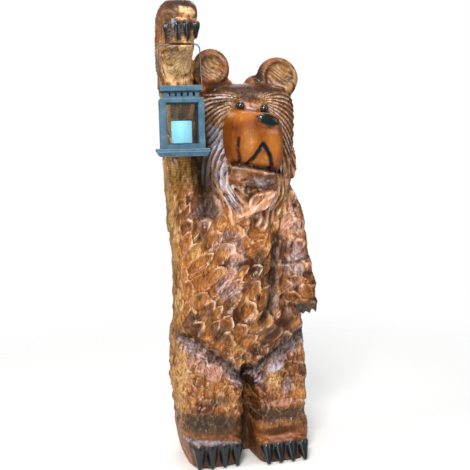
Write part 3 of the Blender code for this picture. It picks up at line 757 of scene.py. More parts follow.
def mane_zone(x, y, z):
    """1 on the long hair round the face."""
    high = lifted(x, z)
    beside_eyes = fade(high, 698.0, 704.0) * fade(np.abs(x - 20.0), 33.0, 38.0)
    beside_muzzle = (1.0 - muzzle_zone(x, y, z)) * fade(beyond_face(x, z), 0.70, 0.80)
    beside_muzzle *= fade(high, 706.0, 698.0)
    zone = strongest(fade(beyond_face(x, z), 1.0, 1.08), beside_eyes, beside_muzzle)
    zone *= fade(z, 540.0, 575.0) * fade(z, 742.0, 730.0)
    zone *= fade(np.hypot((x - MANE_MIDDLE[0]) * 0.8, z - MANE_MIDDLE[1] - 2.0), 12.0, 20.0)
    return zone * fade(y, 62.0, 30.0) * fade(x, -78.0, -68.0) * (1.0 - chin_zone(x, y, z))


def mane_flow(x, z):
    """Counts the locks round the head, which run out from between the eyes and sweep down."""
    dx, dz = x - MANE_MIDDLE[0], z - MANE_MIDDLE[1]
    angle = np.arctan2(dz, dx)
    swept = angle + MANE_SWEEP * np.cos(angle) * (np.hypot(dx, dz) - 40.0)
    return swept * MANE_LOCKS / (2 * math.pi) + 0.3 * np.sin(x * 0.06 + z * 0.05)


def round_log(x, y):
    """How far along the log's skin a place is from the middle of its front, going either way."""
    corner = fade(np.abs(x), 90.0, 122.0)
    return np.clip(x, -130.0, 130.0) + np.sign(x) * (np.maximum(y, -72.0) + 72.0) * corner


def chin_zone(x, y, z):
    """1 on the smooth lip and chin."""
    return band(lifted(x, z), 556.0, 604.0, 4.0) * band(x, -30.0, 62.0, 5.0) * fade(-y, 60.0, 74.0)


def beard_zone(x, y, z):
    """1 on the beard's locks."""
    _, away = beside(x, z, BEARD_LINES)
    zone = fade(away, 17.0, 12.0) * fade(-y, 48.0, 60.0) * fade(z, 604.0, 588.0)
    return zone * (1.0 - chin_zone(x, y, z))


def beard_flow(x, z):
    """Counts strands side by side along each lock of the beard."""
    across, _ = beside(x, z, BEARD_LINES)
    return across / 15.0 + 0.35 * np.sin(z * 0.09 + x * 0.05)


print("zones are set out")

# %% [markdown]
# ## Gouge cuts
# Overlapping gouge cuts cover the figure, and change size and direction from the chest to the
# legs. Each has a steep head, a long tail and a thin crest; their grid is bent so it can't be seen.

# %% Gouge cuts


def on_arm(x, z):
    """1 on the raised arm and paw."""
    return fade(x, -74.0, -84.0) * fade(z, 540.0, 580.0)


def gouge_zones(points):
    """The kinds of gouge cut: where each is, how deep, and its (wide, long, lean, seed)."""
    x, y, z = points.T
    arm = on_arm(x, z)
    hand = fade(x, 78.0, 90.0) * band(z, 292.0, 452.0, 14.0)
    away = np.hypot(x - FACE_MIDDLE[0], z - FACE_MIDDLE[1])
    rear = fade(y, 30.0, 52.0)
    chest = fade(z, 166.0, 258.0 - 0.4 * np.abs(x)) * fade(z, 600.0, 560.0) * fade(away, 112.0, 138.0)
    chest *= (1.0 - arm) * (1.0 - hand) * (1.0 - beard_zone(x, y, z)) * (1.0 - chin_zone(x, y, z))
    legs = fade(z, 262.0, 205.0) * fade(z, 60.0, 92.0)
    side = fade(np.abs(x), 112.0, 126.0)
    return [
        (chest * (1.0 - rear) * (1.0 - 0.55 * side), 11.0, (27.0, 46.0, 0.78, 3)),
        (legs * (1.0 - rear), 6.0, (28.0, 24.0, 0.50, 11)),
        (np.maximum(chest, legs) * rear, 5.0, (34.0, 42.0, 0.2, 17)),
        (rear * fade(z, 560.0, 620.0) * fade(z, 764.0, 720.0) * (1.0 - arm), 4.5, (26.0, 34.0, 0.0, 5)),
        (arm * fade(z, 900.0, 860.0), 2.2, (30.0, 44.0, 0.1, 7)),
        (hand * (1.0 - rear), 4.0, (30.0, 24.0, 0.5, 9)),
    ]


def gouged(points):
    """All the gouge cuts at once: depth, crests, the shade beside them, each cut's own number, and
    how far down each place lies in its cut."""
    x, y, z = points.T
    wrap = round_log(x, y) + 8.0 * ripple(x, z, 34.0, 1.0)
    high = z + 7.0 * ripple(z, x, 29.0, 4.0)
    deep, crest, shade, contour = (np.zeros_like(x) for _ in range(4))
    tones = np.full_like(x, 0.5)
    for zone, depth, pattern in gouge_zones(points):
        bowl, rim, outside, own = scoops(wrap, high, *pattern)
        deep += depth * zone * bowl
        crest = np.maximum(crest, zone * rim)
        shade = np.maximum(shade, zone * outside)
        tones += zone * (own - 0.5)
        contour += zone * bowl
    return deep, crest, shade, tones, contour


def leg_chips(points):
    """Short upright chips on the legs: their depth, crests and shade."""
    x, y, z = points.T
    legs = fade(z, 262.0, 215.0) * fade(z, 62.0, 80.0)
    wrap = round_log(x, y) + 3.0 * ripple(x, z, 14.0, 8.0)
    return [legs * kind for kind in scoops(wrap, z, 11.0, 23.0, 0.35, 23)[:3]]


print("gouge cuts are set out")

# %% [markdown]
# ## Creases, lines and small chips
# Deep creases, the mane and the beard are cut first, with the gouge cuts. Narrow lines, small
# chips and the saw marks on the sides come last, because the first skin is too coarse for them.

# %% Creases, lines and small chips


def first_cuts(points, normals):
    """Creases and large cuts, in drawn units, for the soft skin."""
    x, y, z = points.T
    front = fade(-normals[:, 1], 0.1, 0.5)
    near = fade(-y, 0.0, 12.0)
    ragged = 4.0 * ripple(x, z, 9.0, 6.0)
    deep = 15.0 * stroke(x, z + ragged, GROIN, 15) ** 1.2 * near * front
    deep += 15.0 * stroke(x + 0.6 * ragged, z, ARM_GROOVE, 13) * near * front
    deep += 8.0 * stroke(x + 0.4 * ragged, z, ARM_EDGE, 8) * near * front
    deep += 19.0 * stroke(x, z, ARMPIT, 24) * fade(-y, -10.0, 15.0) * front
    ahead = 0.2 + 0.8 * fade(-normals[:, 1], 0.05, 0.5)
    deep += 7.0 * channels(mane_flow(x, z)) * mane_zone(x, y, z) * ahead
    deep += 4.0 * channels(beard_flow(x, z)) * beard_zone(x, y, z)
    return deep + gouged(points)[0]


def last_cuts(points, normals):
    """Narrow lines and small chips, in drawn units, for the fine skin."""
    x, y, z = points.T
    front = fade(-normals[:, 1], 0.1, 0.5)
    ahead = fade(-y, 60.0, 80.0) * front
    deep = 4.2 * np.clip(stroke(x, z, MOUTH, 5.5) * 1.6, 0, 1) * fade(-y, 100.0, 110.0) * front
    deep += 6.0 * np.clip(stroke(x, z, MOUTH_LINE, 6.0) * 1.5, 0, 1) * ahead
    deep += 2.6 * stroke(x, z, LIP_LINE, 4.0) * ahead
    deep += 5.0 * stroke(x, z, KNUCKLES, 6.0) * ahead
    for cut in FOREARM_CUTS:
        deep += 5.5 * stroke(x, z, cut, 7.0) * fade(-y, 30.0, 50.0) * front
    for cut in JAW_CUTS:
        deep += 3.0 * stroke(x, z, cut, 6.0) * ahead * front
    for name in ("eye_left", "eye_right"):
        low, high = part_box(name)
        middle = (np.array(low) + np.array(high)) / 2 / UNIT
        away = np.linalg.norm(points - middle, axis=1)
        deep += 2.6 * fade(away, 14.0, 10.0) * front
    face = fade(beyond_face(x, z), 1.02, 0.96) * fade(-y, 60.0, 72.0)
    brow = band(z, 736.0, 762.0, 5.0) * band(x, -56.0, 118.0, 8.0)
    ears = fade(z, 752.0, 764.0) * fade(x, -94.0, -86.0)
    smooth = strongest(face, brow, ears, near_claws(points, 3.0), beard_zone(x, y, z), chin_zone(x, y, z))
    chips = 1.3 * scoops(round_log(x, y), z, 9.0, 17.0, 0.25, 21)[0]
    chips += 3.2 * leg_chips(points)[0]
    saw_marks = 0.5 + 0.5 * np.sin(z * 0.9 + 2.0 * ripple(y, z, 16.0, 3.0))
    saw_marks *= fade(np.abs(normals[:, 0]), 0.6, 0.9)
    deep += (chips + 0.8 * saw_marks) * (1.0 - smooth)
    deep += 1.0 * channels(mane_flow(x, z) * 2.0 + 0.3, 1.6) * mane_zone(x, y, z) * front
    deep += 0.8 * channels(beard_flow(x, z) * 2.0, 1.6) * beard_zone(x, y, z)
    deep += 2.4 * channels(z / 7.0) * daubs(x, z, [CHIN_LOCK]) * ahead
    return deep + 1.1 * channels((x * 0.8 + z) / 7.5 + 0.4 * np.sin(x * 0.2), 1.5) * (ears * front)


def near_claws(points, margin):
    """1 on the painted claws and toes, 0 away from them."""
    mask = np.zeros(len(points))
    for top, tip, thick in PAW_CLAWS + HAND_CLAWS + TOES:
        root, along = np.array(top, float), np.array(tip, float) - np.array(top, float)
        t = np.clip((points - root) @ along / (along @ along), -0.1, 1.0)
        away = np.linalg.norm(points - root - t[:, None] * along, axis=1)
        limit = thick * (1.0 - CLAW_TAPER * np.clip(t, 0, 1)) + margin
        mask = np.maximum(mask, fade(away, limit + 1.2, limit - 1.2) * fade(-t, 0.12, -0.02))
    return mask


def cup_ears(points, normals):
    """How far back each point of the two ears is hollowed."""
    x, _, z = points.T
    hollow = np.zeros_like(x)
    for (middle_x, middle_z), radius in EARS:
        away = np.hypot(x - middle_x, z - middle_z) / radius
        hollow += EAR_DEPTH * np.clip(1 - away ** 3, 0, 1) * fade(z, middle_z - 26, middle_z - 8)
    return hollow * fade(-normals[:, 1], 0.0, 0.4)


print("cuts are set out")

# %% [markdown]
# ## Carving the log
# Clay, even skin, soft skin, large cuts, a finer even skin, small cuts, and then fewer triangles
# where the wood is plain: the face, paws and feet keep theirs. The skin is held inside the packed
# model's box, and a saw kerf for the wire is cut last, because a remesh would close it.

# %% Make the bear's mesh
SOFT_GRAIN = 0.0023
FINE_GRAIN = 0.0017
EVEN_TRIANGLES = 360000
BEAR_TRIANGLES = 192000
BOX_MARGIN = 0.25
EAR_DEPTH = 13.0
SOFTENING = 6
MUZZLE_ROUNDING = 46


def muzzle_places(mesh):
    """The points of the muzzle below the nose, whose flat facets are rubbed round."""
    points, _ = points_and_normals(mesh)
    x, y, z = points.T
    high = lifted(x, z)
    nose = (x > 2) & (x < 60) & (z > 664)
    return (y < -68) & (high > 602) & (high < 716) & (np.abs(x - 20) < 66) & ~nose


def detailed_places(points):
    """The points that keep small triangles: face, mane, beard, raised paw, hand and toes."""
    x, y, z = points.T
    head = (z > 480) & (z < 745) & (y < -30) & (x > -70)
    tips = ((z > 815) & (y < PAW_FRONT + 34)) | ((z < 64) & (y < -78))
    hand = (z > 284) & (z < 340) & (x > 80) & (y < -60)
    return head | tips | hand


def carved_log():
    """Joins the forms into one skin, cuts it twice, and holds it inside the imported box."""
    bm = bmesh.new()
    for form in FORMS:
        form(bm)
    bmesh.ops.scale(bm, vec=(UNIT, UNIT, UNIT), verts=bm.verts)
    mesh = mesh_from(bm, "bear_clay")
    mesh = modified(mesh, "REMESH", mode="VOXEL", voxel_size=SOFT_GRAIN)
    mesh = modified(mesh, "SMOOTH", factor=0.5, iterations=SOFTENING)
    mesh = modified(mesh, "SMOOTH", chosen=muzzle_places(mesh), factor=0.5, iterations=MUZZLE_ROUNDING)
    points, normals = points_and_normals(mesh)
    points[:, 1] += cup_ears(points, normals)
    move_points(mesh, points)
    points, normals = points_and_normals(mesh)
    move_points(mesh, points - normals * first_cuts(points, normals)[:, None])
    mesh = modified(mesh, "REMESH", mode="VOXEL", voxel_size=FINE_GRAIN)
    points, normals = points_and_normals(mesh)
    points -= normals * last_cuts(points, normals)[:, None]
    low, high = (np.array(corner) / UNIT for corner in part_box("bear"))
    points[:, :2] = np.clip(points[:, :2], low[:2] + BOX_MARGIN, high[:2] - BOX_MARGIN)
    points[:, 2] = np.minimum(points[:, 2], high[2] - BOX_MARGIN)
    move_points(mesh, points)
    print("fine skin:", triangle_count(mesh), "triangles")
    return mesh


def thinned(mesh):
    """Fewer triangles: a little fewer everywhere, then many fewer away from the detailed places."""
    mesh = modified(mesh, "DECIMATE", ratio=EVEN_TRIANGLES / triangle_count(mesh))
    points, _ = points_and_normals(mesh)
    kept = detailed_places(points)
    print("detailed points:", int(kept.sum()), "of", len(points))
    share = BEAR_TRIANGLES / triangle_count(mesh)
    return modified(mesh, "DECIMATE", chosen=kept, invert_vertex_group=True, ratio=share)


def cut_flat(mesh):
    """Cuts the log flat at the ground and closes the cut."""
    bm = bmesh.new()
    bm.from_mesh(mesh)
    everything = bm.verts[:] + bm.edges[:] + bm.faces[:]
    cut = bmesh.ops.bisect_plane(
        bm, geom=everything, dist=1e-6, plane_co=(0, 0, 0), plane_no=(0, 0, 1), clear_inner=True
    )
    edges = [item for item in cut["geom_cut"] if isinstance(item, bmesh.types.BMEdge)]
    bmesh.ops.triangle_fill(bm, use_beauty=True, edges=edges, normal=(0, 0, -1))
    bmesh.ops.triangulate(bm, faces=bm.faces[:])
    bm.to_mesh(mesh)
    bm.free()
    return mesh


bear_mesh = cut_flat(thinned(carved_log()))
print("bear:", triangle_count(bear_mesh), "triangles")

# %% [markdown]
# ## The kerf under the claws
# The real carver sawed a slot across the paw, just under the claws, and the lantern's wire lies
# in it. A thin box taken out with an exact Boolean keeps the slot's crisp edges.

# %% Cut the kerf and make the bear
LANTERN_TURN = math.radians(-8.0)
LANTERN_PLACE = Vector((
    (lantern_low.x + lantern_high.x) / 2, (lantern_low.y + lantern_high.y) / 2,
    lantern_high.z - WIRE_RADIUS,
))
LANTERN = Matrix.Translation(LANTERN_PLACE) @ Matrix.Rotation(LANTERN_TURN, 4, "Z")
KERF_SIZE = (0.116, 0.040, 0.0042)
KERF_IN = 0.0015


def piece(name, mesh, finish, slot, *nodes):
    """A finished piece: it rides on the one body and stands for the CAD nodes that it names."""
    obj = placed(name, mesh)
    mesh.materials.clear()
    mesh.materials.append(finish)
    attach(obj, "root")
    if nodes:
        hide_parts(*nodes)
    return obj


def with_kerf(mesh):
    """The log's mesh with the saw slot for the wire taken out."""
    log = placed("log", mesh)
    bm = bmesh.new()
    size = Matrix.Diagonal((*KERF_SIZE, 1.0))
    shift = Matrix.Translation((0, KERF_IN - KERF_SIZE[1] / 2, 0))
    bmesh.ops.create_cube(bm, size=1.0, matrix=LANTERN @ shift @ size)
    cutter = placed("kerf", mesh_from(bm, "kerf"))
    step = log.modifiers.new("kerf", "BOOLEAN")
    step.operation = "DIFFERENCE"
    step.object = cutter
    made = evaluated(log)
    bpy.data.objects.remove(cutter, do_unlink=True)
    return made


bear_mesh = with_kerf(bear_mesh)
bear_mesh.name = "bear_log"
print("with the kerf:", triangle_count(bear_mesh), "triangles")

# %% [markdown]
# ## What the brush and torch left on each part, and the painted light and shade
# The finish isn't even: ridges are worn to bare pale wood and also carry a painted highlight,
# hollows hold stain and a painted shade, the deepest places are scorched and darkened further as
# painted shade, the muzzle is clear orange with a painted highlight and shade, claws and nose are
# black, and the log's sawn sides stay yellow. Each of these is a number from 0 to 1 at every point,
# worked out from the point's place, or from how much the skin bulges there, and kept on the mesh as
# an attribute for the shader.

# %% Measure ridges and hollows
WIDE_STEPS = 6


def bulge(mesh, points, normals):
    """Above 0 on ridges and below 0 in hollows, from how each point stands out from its neighbours."""
    ends = np.empty(len(mesh.edges) * 2, int)
    mesh.edges.foreach_get("vertices", ends)
    first, second = ends.reshape(-1, 2).T
    count = np.bincount(first, minlength=len(points)) + np.bincount(second, minlength=len(points))
    count = np.maximum(count, 1)

    def spread(values):
        total = np.bincount(first, values[second], len(points))
        return (total + np.bincount(second, values[first], len(points))) / count

    around = np.stack([spread(points[:, k]) for k in range(3)], axis=1)
    length = np.linalg.norm(points[first] - points[second], axis=1)
    reach = np.bincount(first, length, len(points)) + np.bincount(second, length, len(points))
    sharp = ((points - around) * normals).sum(1) / (reach / count) ** 2
    near = 0.5 * sharp + 0.5 * spread(sharp)
    wide = near
    for _ in range(WIDE_STEPS):
        wide = spread(wide)
    return near, wide


points, normals = points_and_normals(bear_mesh)
near_bulge, wide_bulge = bulge(bear_mesh, points, normals)
print("bulge, near:", np.round(np.percentile(near_bulge, [5, 50, 95]), 3))
print("bulge, wide:", np.round(np.percentile(wide_bulge, [5, 50, 95]), 3))

# %% [markdown]
# ## Where each stain and painted light lies
# The carver brushed several stains on by hand, so they follow no rule and are kept as a plain
# list: soft ovals on the front, each with its place, half width, half height and any lean. Some
# are painted light instead: the lilac-grey daubs are a painted reflection of the sky in the
# varnish, the darkest daubs partly painted shade, and the straw daub on the arm's front under the
# paw partly painted light.

# %% Where each stain and painted light lies
STAINS = {
    # Painted reflection: the lilac-grey of the sky seen in the varnish on flat and upward facets.
    "sky_sheen": [
        (-54, 706, 12, 14), (-59, 629, 9, 24), (29, 563, 34, 14, -10), (-36, 356, 24, 30, 30),
        (-70, 506, 30, 26), (-30, 452, 26, 20), (106, 425, 22, 18), (111, 473, 20, 14),
        (104, 384, 24, 12), (-106, 242, 38, 16, -30), (-46, 200, 48, 15, -32), (82, 151, 16, 22),
        (60, 214, 64, 18, 34), (75, 755, 14, 10), (94, 756, 16, 9), (112, 400, 26, 34), (98, 352, 16, 14),
        (98, 398, 18, 14), (104, 240, 30, 24, 30), (26, 566, 28, 10, -8), (92, 300, 12, 10),
        (-76, 488, 14, 12), (48, 481, 14, 10), (60, 330, 16, 24), (-20, 408, 18, 34, -35),
        (104, 500, 14, 10),
    ],
    "honey": [
        (-146, 811, 10, 16, 20), (-134, 778, 9, 20, 20), (-108, 800, 30, 30), (104, 556, 16, 30),
        (-140, 554, 16, 34), (55, 166, 16, 18), (-46, 784, 16, 18), (89, 772, 19, 16),
        (-110, 190, 14, 20), (-20, 236, 14, 8), (-4, 333, 20, 9, 35), (-88, 300, 15, 30, 20),
        (-96, 440, 12, 34), (112, 790, 10, 14), (-14, 590, 18, 6, -8),
    ],
    # The first straw daub, on the arm's front under the paw, is partly painted light in the paw's shade.
    "straw": [
        (-112, 796, 36, 40), (-132, 700, 20, 40), (-134, 470, 9, 40), (-136, 420, 9, 30),
        (55, 166, 15, 17), (128, 770, 8, 18), (92, 790, 20, 8), (-50, 800, 20, 14), (-138, 520, 12, 20),
        (-128, 330, 8, 26), (102, 545, 14, 24), (-130, 190, 8, 40), (100, 778, 12, 10),
        (-40, 780, 12, 10), (112, 748, 10, 12),
    ],
    "rosy": [
        (-106, 884, 17, 6, -12), (-105, 786, 7, 12), (25, 509, 20, 9, 10), (33, 498, 14, 8),
        (-113, 216, 16, 12, -25), (-74, 190, 34, 16, -20), (38, 160, 12, 14), (-30, 380, 14, 20, 35),
        (46, 661, 7, 6), (-18, 420, 10, 22, 35), (62, 42, 40, 5, 3), (72, 112, 30, 8),
        (98, 530, 14, 22, 20), (104, 590, 12, 20),
    ],
    "orange": [
        (-60, 166, 34, 18), (81, 116, 22, 22), (-1, 556, 10, 12), (104, 330, 40, 14), (-84, 140, 30, 14),
        (-35, 520, 10, 18), (88, 347, 10, 14), (131, 330, 12, 12), (-51, 819, 24, 8, 8),
        (-15, 798, 7, 16), (86, 803, 24, 6, -6), (127, 768, 8, 18), (20, 440, 26, 30, 30),
        (-84, 380, 26, 40, 20), (88, 300, 20, 12),
    ],
    "olive": [
        (-57, 131, 50, 12), (-92, 84, 44, 20, 5), (-46, 78, 40, 18, 5), (-20, 592, 13, 5, -8),
        (52, 88, 32, 14), (92, 86, 32, 14), (34, 400, 14, 40, 12), (100, 254, 34, 14),
        (-134, 862, 14, 14), (-118, 897, 30, 10), (28, 270, 22, 20), (-48, 268, 22, 18),
    ],
    # Partly a dark stain, partly painted shade in crevices, under the paw and hand, between the legs and on
    # the brow.
    "dark_stain_and_shade": [
        (28, 225, 26, 20), (10, 396, 16, 14, 30), (-48, 409, 16, 14, 30), (124, 375, 12, 9),
        (-90, 767, 6, 12), (-128, 502, 5, 24), (89, 281, 30, 9), (65, 55, 46, 8, 3), (-46, 744, 14, 9),
        (6, 738, 20, 7), (48, 748, 18, 9), (-22, 758, 8, 12), (48, 770, 9, 16), (-20, 300, 12, 12),
        (-100, 330, 8, 10), (36, 137, 5, 26), (24, 747, 74, 10, -7), (-132, 888, 14, 14),
        (-88, 888, 10, 14), (98, 640, 8, 26), (96, 700, 8, 24), (-112, 901, 34, 7), (-112, 862, 36, 5),
        (-36, 250, 14, 10, -30), (30, 176, 12, 30), (112, 258, 20, 12), (56, 262, 20, 18, 30),
        (-146, 850, 8, 30), (-84, 892, 16, 9),
    ],
}
print(sum(len(places) for places in STAINS.values()), "daubs of", len(STAINS), "stains")

# %% [markdown]
# ## Ridges, hollows and tones
# Paint masks are drawn with the same lines and zones as the cuts, so paint and carving stay
# together. First come those that follow the carving itself: crests, shade, and each cut's tone.
# The crests and bulging ridges take a painted highlight as well as wear, and the hollows and the
# mane a painted shade as well as stain.

# %% Ridges, hollows and tones
MASKS = {}


def paint(name, values):
    MASKS[name] = np.clip(values, 0.0, 1.0)
    print(f"{name:8s} covers {100 * MASKS[name].mean():5.1f} % of the points")


x, y, z = points.T
front = fade(-normals[:, 1], -0.1, 0.4) * fade(-y, -20.0, 10.0)
mane = mane_zone(x, y, z)
bearded = beard_zone(x, y, z)
mane_lines = crest_of(mane_flow(x, z))
hair_crest = strongest(mane * mane_lines, bearded * crest_of(beard_flow(x, z)))
fine_crest = mane * crest_of(mane_flow(x, z) * 2.0 + 0.3)
_, gouge_crest, gouge_shade, gouge_tones, contour = gouged(points)
_, chip_crest, chip_shade = leg_chips(points)
low_legs = 1.0 - 0.45 * fade(z, 262.0, 215.0)
ear_inside = strongest(*(
    fade(np.hypot(x - across, z - up) / radius, 0.86, 0.74) for (across, up), radius in EARS
))
ear_marks = crest_of((x * 0.7 + z) / 9.0 + 0.5 * ripple(x, z, 8.0, 5.0))
ear_shown = fade(z, 736.0, 748.0)
ear_marks = 0.55 * ear_inside * ear_marks * ear_shown
lock_marks = 0.8 * crest_of(z / 7.0) * daubs(x, z, [CHIN_LOCK]) * fade(-y, 60.0, 80.0)

# The ridge mask is worn pale wood and also a painted highlight: the crest inside each cut's head stands for
# its lit inner wall.
paint("ridge", strongest(
    gouge_crest * low_legs, 0.5 * chip_crest, hair_crest, 0.5 * fine_crest, ear_marks, lock_marks,
))
paint("tone", gouge_tones)
paint("shade", strongest(gouge_shade, chip_shade))
paint("contour", contour / 1.5)
# Painted highlight on bulging ridges, and painted shade in the hollows and over the whole mane.
paint("crest", fade(near_bulge, 0.030, 0.16) + 0.6 * fade(wide_bulge, 0.015, 0.06))
paint("hollow", fade(-wide_bulge, 0.008, 0.06) + 0.5 * fade(-near_bulge, 0.03, 0.14) + 0.62 * mane)
paint("limb", on_arm(x, z))

# %% [markdown]
# ## Muzzle, nose and black paint
# The muzzle was wiped with clear orange; soft round spots without an edge give a painted
# highlight on its middle and upper left and a painted shade at its rim and beside the nose.
# Nose, mouth and claws were painted black with a fine brush.

# %% Muzzle, nose and black paint
NOSE = [(9, 691), (28, 698), (52, 684), (51, 674), (34, 668), (12, 680)]
# Painted highlight (first list) and painted shade (second list) on the muzzle, as soft spots.
MUZZLE_HIGHLIGHT_PLACES = [(-8, 692, 20, 10), (-2, 640, 15, 22), (46, 638, 13, 20), (27, 606, 11, 12), (40, 664, 8, 6)]
MUZZLE_SHADE_PLACES = [
    (-36, 628, 10, 40), (8, 674, 10, 14), (78, 640, 10, 40), (16, 592, 60, 8), (20, 630, 8, 16),
    (-24, 668, 8, 12), (60, 660, 7, 12),
]
BLACK_LINES = [
    (1.0, MOUTH, 5.4, 2.6, 84.0, 92.0), (0.95, LIP_LINE, 4.0, 2.2, 78.0, 84.0),
    (0.95, MOUTH_LINE, 5.0, 2.0, 80.0, 88.0),
]


def glows(places):
    """Wide soft spots without an edge: (across, up, half width, half height)."""
    mask = np.zeros_like(x)
    for across, up, wide, tall in places:
        mask += np.exp(-((x - across) / wide) ** 2 - ((z - up) / tall) ** 2)
    return mask


def face_line(strength, points, width, hardness, start, end):
    """A painted line that only the parts of the face further forward than start take."""
    return strength * np.clip(stroke(x, z, points, width) * hardness, 0, 1) * fade(-y, start, end)


high = lifted(x, z)
paint("muzzle", muzzle_zone(x, y, z) * fade(high, 588.0, 596.0) * fade(high, 712.0, 702.0))
paint("glow", glows(MUZZLE_HIGHLIGHT_PLACES))
paint("dim", glows(MUZZLE_SHADE_PLACES))
nose = within(x, z, NOSE) * fade(-y, 120.0, 130.0)
on_hand = fade(x, 70.0, 84.0) * band(z, 280.0, 460.0, 10.0)
claws = near_claws(points, 1.5) * (1.0 - 0.28 * on_hand)
paint("black", strongest(nose, claws, strongest(*(face_line(*row) for row in BLACK_LINES)) * front))
paint("lacquer", strongest(nose, claws))

# %% [markdown]
# ## Scorched creases and painted shade
# A torch was run along the creases and over the feet. The same dark also stands for painted shade:
# in the armpit, on the paw, under the hand, on the brow, between the legs, in the ear's cup and in
# the mane's channels. Lines are given as (strength, width, softness, points), and ovals in groups
# of one strength, so each place stays easy to change.

# %% Scorched creases and painted shade
# Creases that were scorched, and places painted dark as shade.
SCORCH_AND_SHADE_LINES = [
    (0.9, 13, 0.8, GROIN), (1.0, 13, 0.55, ARM_GROOVE), (0.7, 5, 1.0, ARM_EDGE), (0.6, 8, 1.0, KNUCKLES),
    *((0.7, 4, 1.0, cut) for cut in FOREARM_CUTS + JAW_CUTS),
    (0.62, 11, 0.5, [(-126, 54), (-76, 49), (-24, 43)]),
    (0.9, 5, 0.8, [(67, 752), (63, 774), (72, 792), (90, 799), (110, 791)]),
    (0.9, 5, 0.8, [(-70, 764), (-73, 786), (-60, 807), (-36, 808)]),
]
SCORCH_AND_SHADE_PLACES = [
    (0.5, [(86, 66, 44, 12), (40, 66, 22, 14), (-138, 60, 16, 50)]),
    (0.6, [(20, 738, 40, 10, -7), (-140, 850, 12, 40), (-136, 884, 14, 20)]),
    (0.8, [(-120, 46, 9, 16), (-74, 40, 56, 9, -5), (90, 228, 54, 14, 32), (56, 262, 26, 14, 40)]),
    (0.84, [(-100, 82, 38, 27, 4), (-50, 78, 44, 26, 4), (52, 88, 36, 15), (92, 86, 38, 15)]),
    (0.9, [(22, 730, 30, 9, -7)]),
]
BROW_SHADE = [(30, 744, 76, 12, -7), (-38, 744, 16, 10)]
PAW_SHADE = [
    (-140, 880, 14, 22), (-112, 904, 40, 8), (-84, 884, 8, 16), (-112, 862, 38, 5),
    (-114, 848, 32, 14),
]
PITS = [(-93, 342), (-132, 309), (12, 539), (1, 549)]


def line(points, width, soft=0.5):
    """A painted line; the lower soft is, the wider its strong middle."""
    return stroke(x, z, points, width) ** soft


def drawn(lines, places):
    """The strongest of many lines and groups of ovals."""
    marks = [strength * line(points, width, soft) for strength, width, soft, points in lines]
    return strongest(*marks, *(strength * daubs(x, z, group) for strength, group in places))


band_side, band_away = beside(x, z, THIGH_BANDS)
band_zone = fade(band_away, 16.0, 8.0) * front
band_crest = crest_of(band_side / 5.5 + 0.6 * ripple(x, z, 19.0, 6.0) + 0.03 * x)
band_crest *= band_zone * fade(ripple(x, z, 24.0, 3.0), -0.5, 0.3)
band_dark = band_zone * fade(ripple(x + z, z - x, 12.0, 9.0), 0.1, 0.6)
mane_gap = mane * fade(channels(mane_flow(x, z)), 0.55, 0.95)
# Scorch in the creases, with painted shade in the armpit, on the paw and brow, under the hand, between the
# legs, in the ears and in the mane's channels.
paint("scorch_and_shade", strongest(
    drawn(SCORCH_AND_SHADE_LINES, SCORCH_AND_SHADE_PLACES) * front,
    *(0.9 * fade(np.hypot(x - across, z - up), 9.0, 4.0) * front for across, up in PITS),
    0.5 * band(x, 78.0, 146.0, 6.0) * band(z, 296.0, 322.0, 8.0) * front,
    0.82 * fade(z, 44.0, 34.0) * front * fade(-y, 66.0, 76.0),
    0.34 * ear_inside * (1.0 - ear_marks / 0.55) * front * ear_shown,
    0.5 * band_dark * (1.0 - band_crest),
    0.5 * mane_gap * fade(-y, 0.0, 30.0),
    0.7 * band(x, -2.0, 17.0, 3.0) * fade(z, 172.0, 150.0) * fade(-y, 5.0, 14.0),
    0.75 * line([(46, 742), (49, 768), (60, 794)], 11.0, 0.8) * fade(-y, -20.0, 0.0),
    0.55 * daubs(x, z, BROW_SHADE) * fade(z, 772.0, 760.0),
    0.6 * daubs(x, z, PAW_SHADE) * fade(-y, 20.0, 40.0),
    line(ARMPIT, 26, 0.5) * fade(-y, -10.0, 10.0),
))

# %% [markdown]
# ## Stains, painted sky highlight and pale wood
# A stain takes more in some cuts than in others, so each daub is weighed by the cut's own tone.
# The pale blue-grey on the hair's tips, the ankles, the forearm and the thigh bands is a painted
# highlight, the sky's reflection in the varnish; pale wood is where stain was rubbed off, and on
# the arm's front under the paw it is partly painted light as well.

# %% Stains, painted sky highlight and pale wood
CHEEK_LOCKS = [
    [(-50, 672), (-45, 619), (-41, 570), (-29, 521)], [(-39, 660), (-36, 609), (-32, 561), (-14, 516)],
]
# A painted highlight: the sky's pale blue-grey reflection on the left foot's ledge and the paw's edge, and
# on the chin, forearm and a thigh.
SKY_HIGHLIGHT_LINES = [
    (0.65, 5, 0.5, [(-126, 55), (-76, 50), (-24, 44)]), (0.7, 4, 0.5, [(-136, 868), (-134, 846)]),
]
SKY_HIGHLIGHT_PLACES = [
    (0.24, [(30, 566, 28, 9, -10), (104, 384, 22, 12), (104, 412, 22, 10)]),
    (0.8, [(58, 188, 17, 8, 20)]),
]
PALE_LINES = [(0.6, 4, 0.5, [(72, 429), (69, 389), (66, 349), (59, 317)])]
PALE_PLACES = [
    (0.8, [(20, 713, 22, 5, -8), (66, 706, 8, 7, -30), (-30, 700, 8, 10, 30)]), (0.4, [(100, 476, 26, 44)]),
]
# The first group is partly painted light on the arm's front, in the paw's shade.
PALE_AHEAD = [
    (0.9, 20.0, 40.0, [(-108, 796, 28, 34), (-134, 770, 8, 30, 24)]),
    (0.65, 40.0, 60.0, [(-110, 886, 20, 8, -12), (-120, 870, 14, 4), (-94, 872, 10, 4)]),
    (0.7, 60.0, 80.0, [(-1, 554, 12, 14), (-16, 580, 12, 10)]),
    (0.8, 80.0, 90.0, [(22, 590, 44, 7, -10)]),
]
BEARD_TIP = [(66, 566), (46, 530), (10, 510), (-16, 499)]

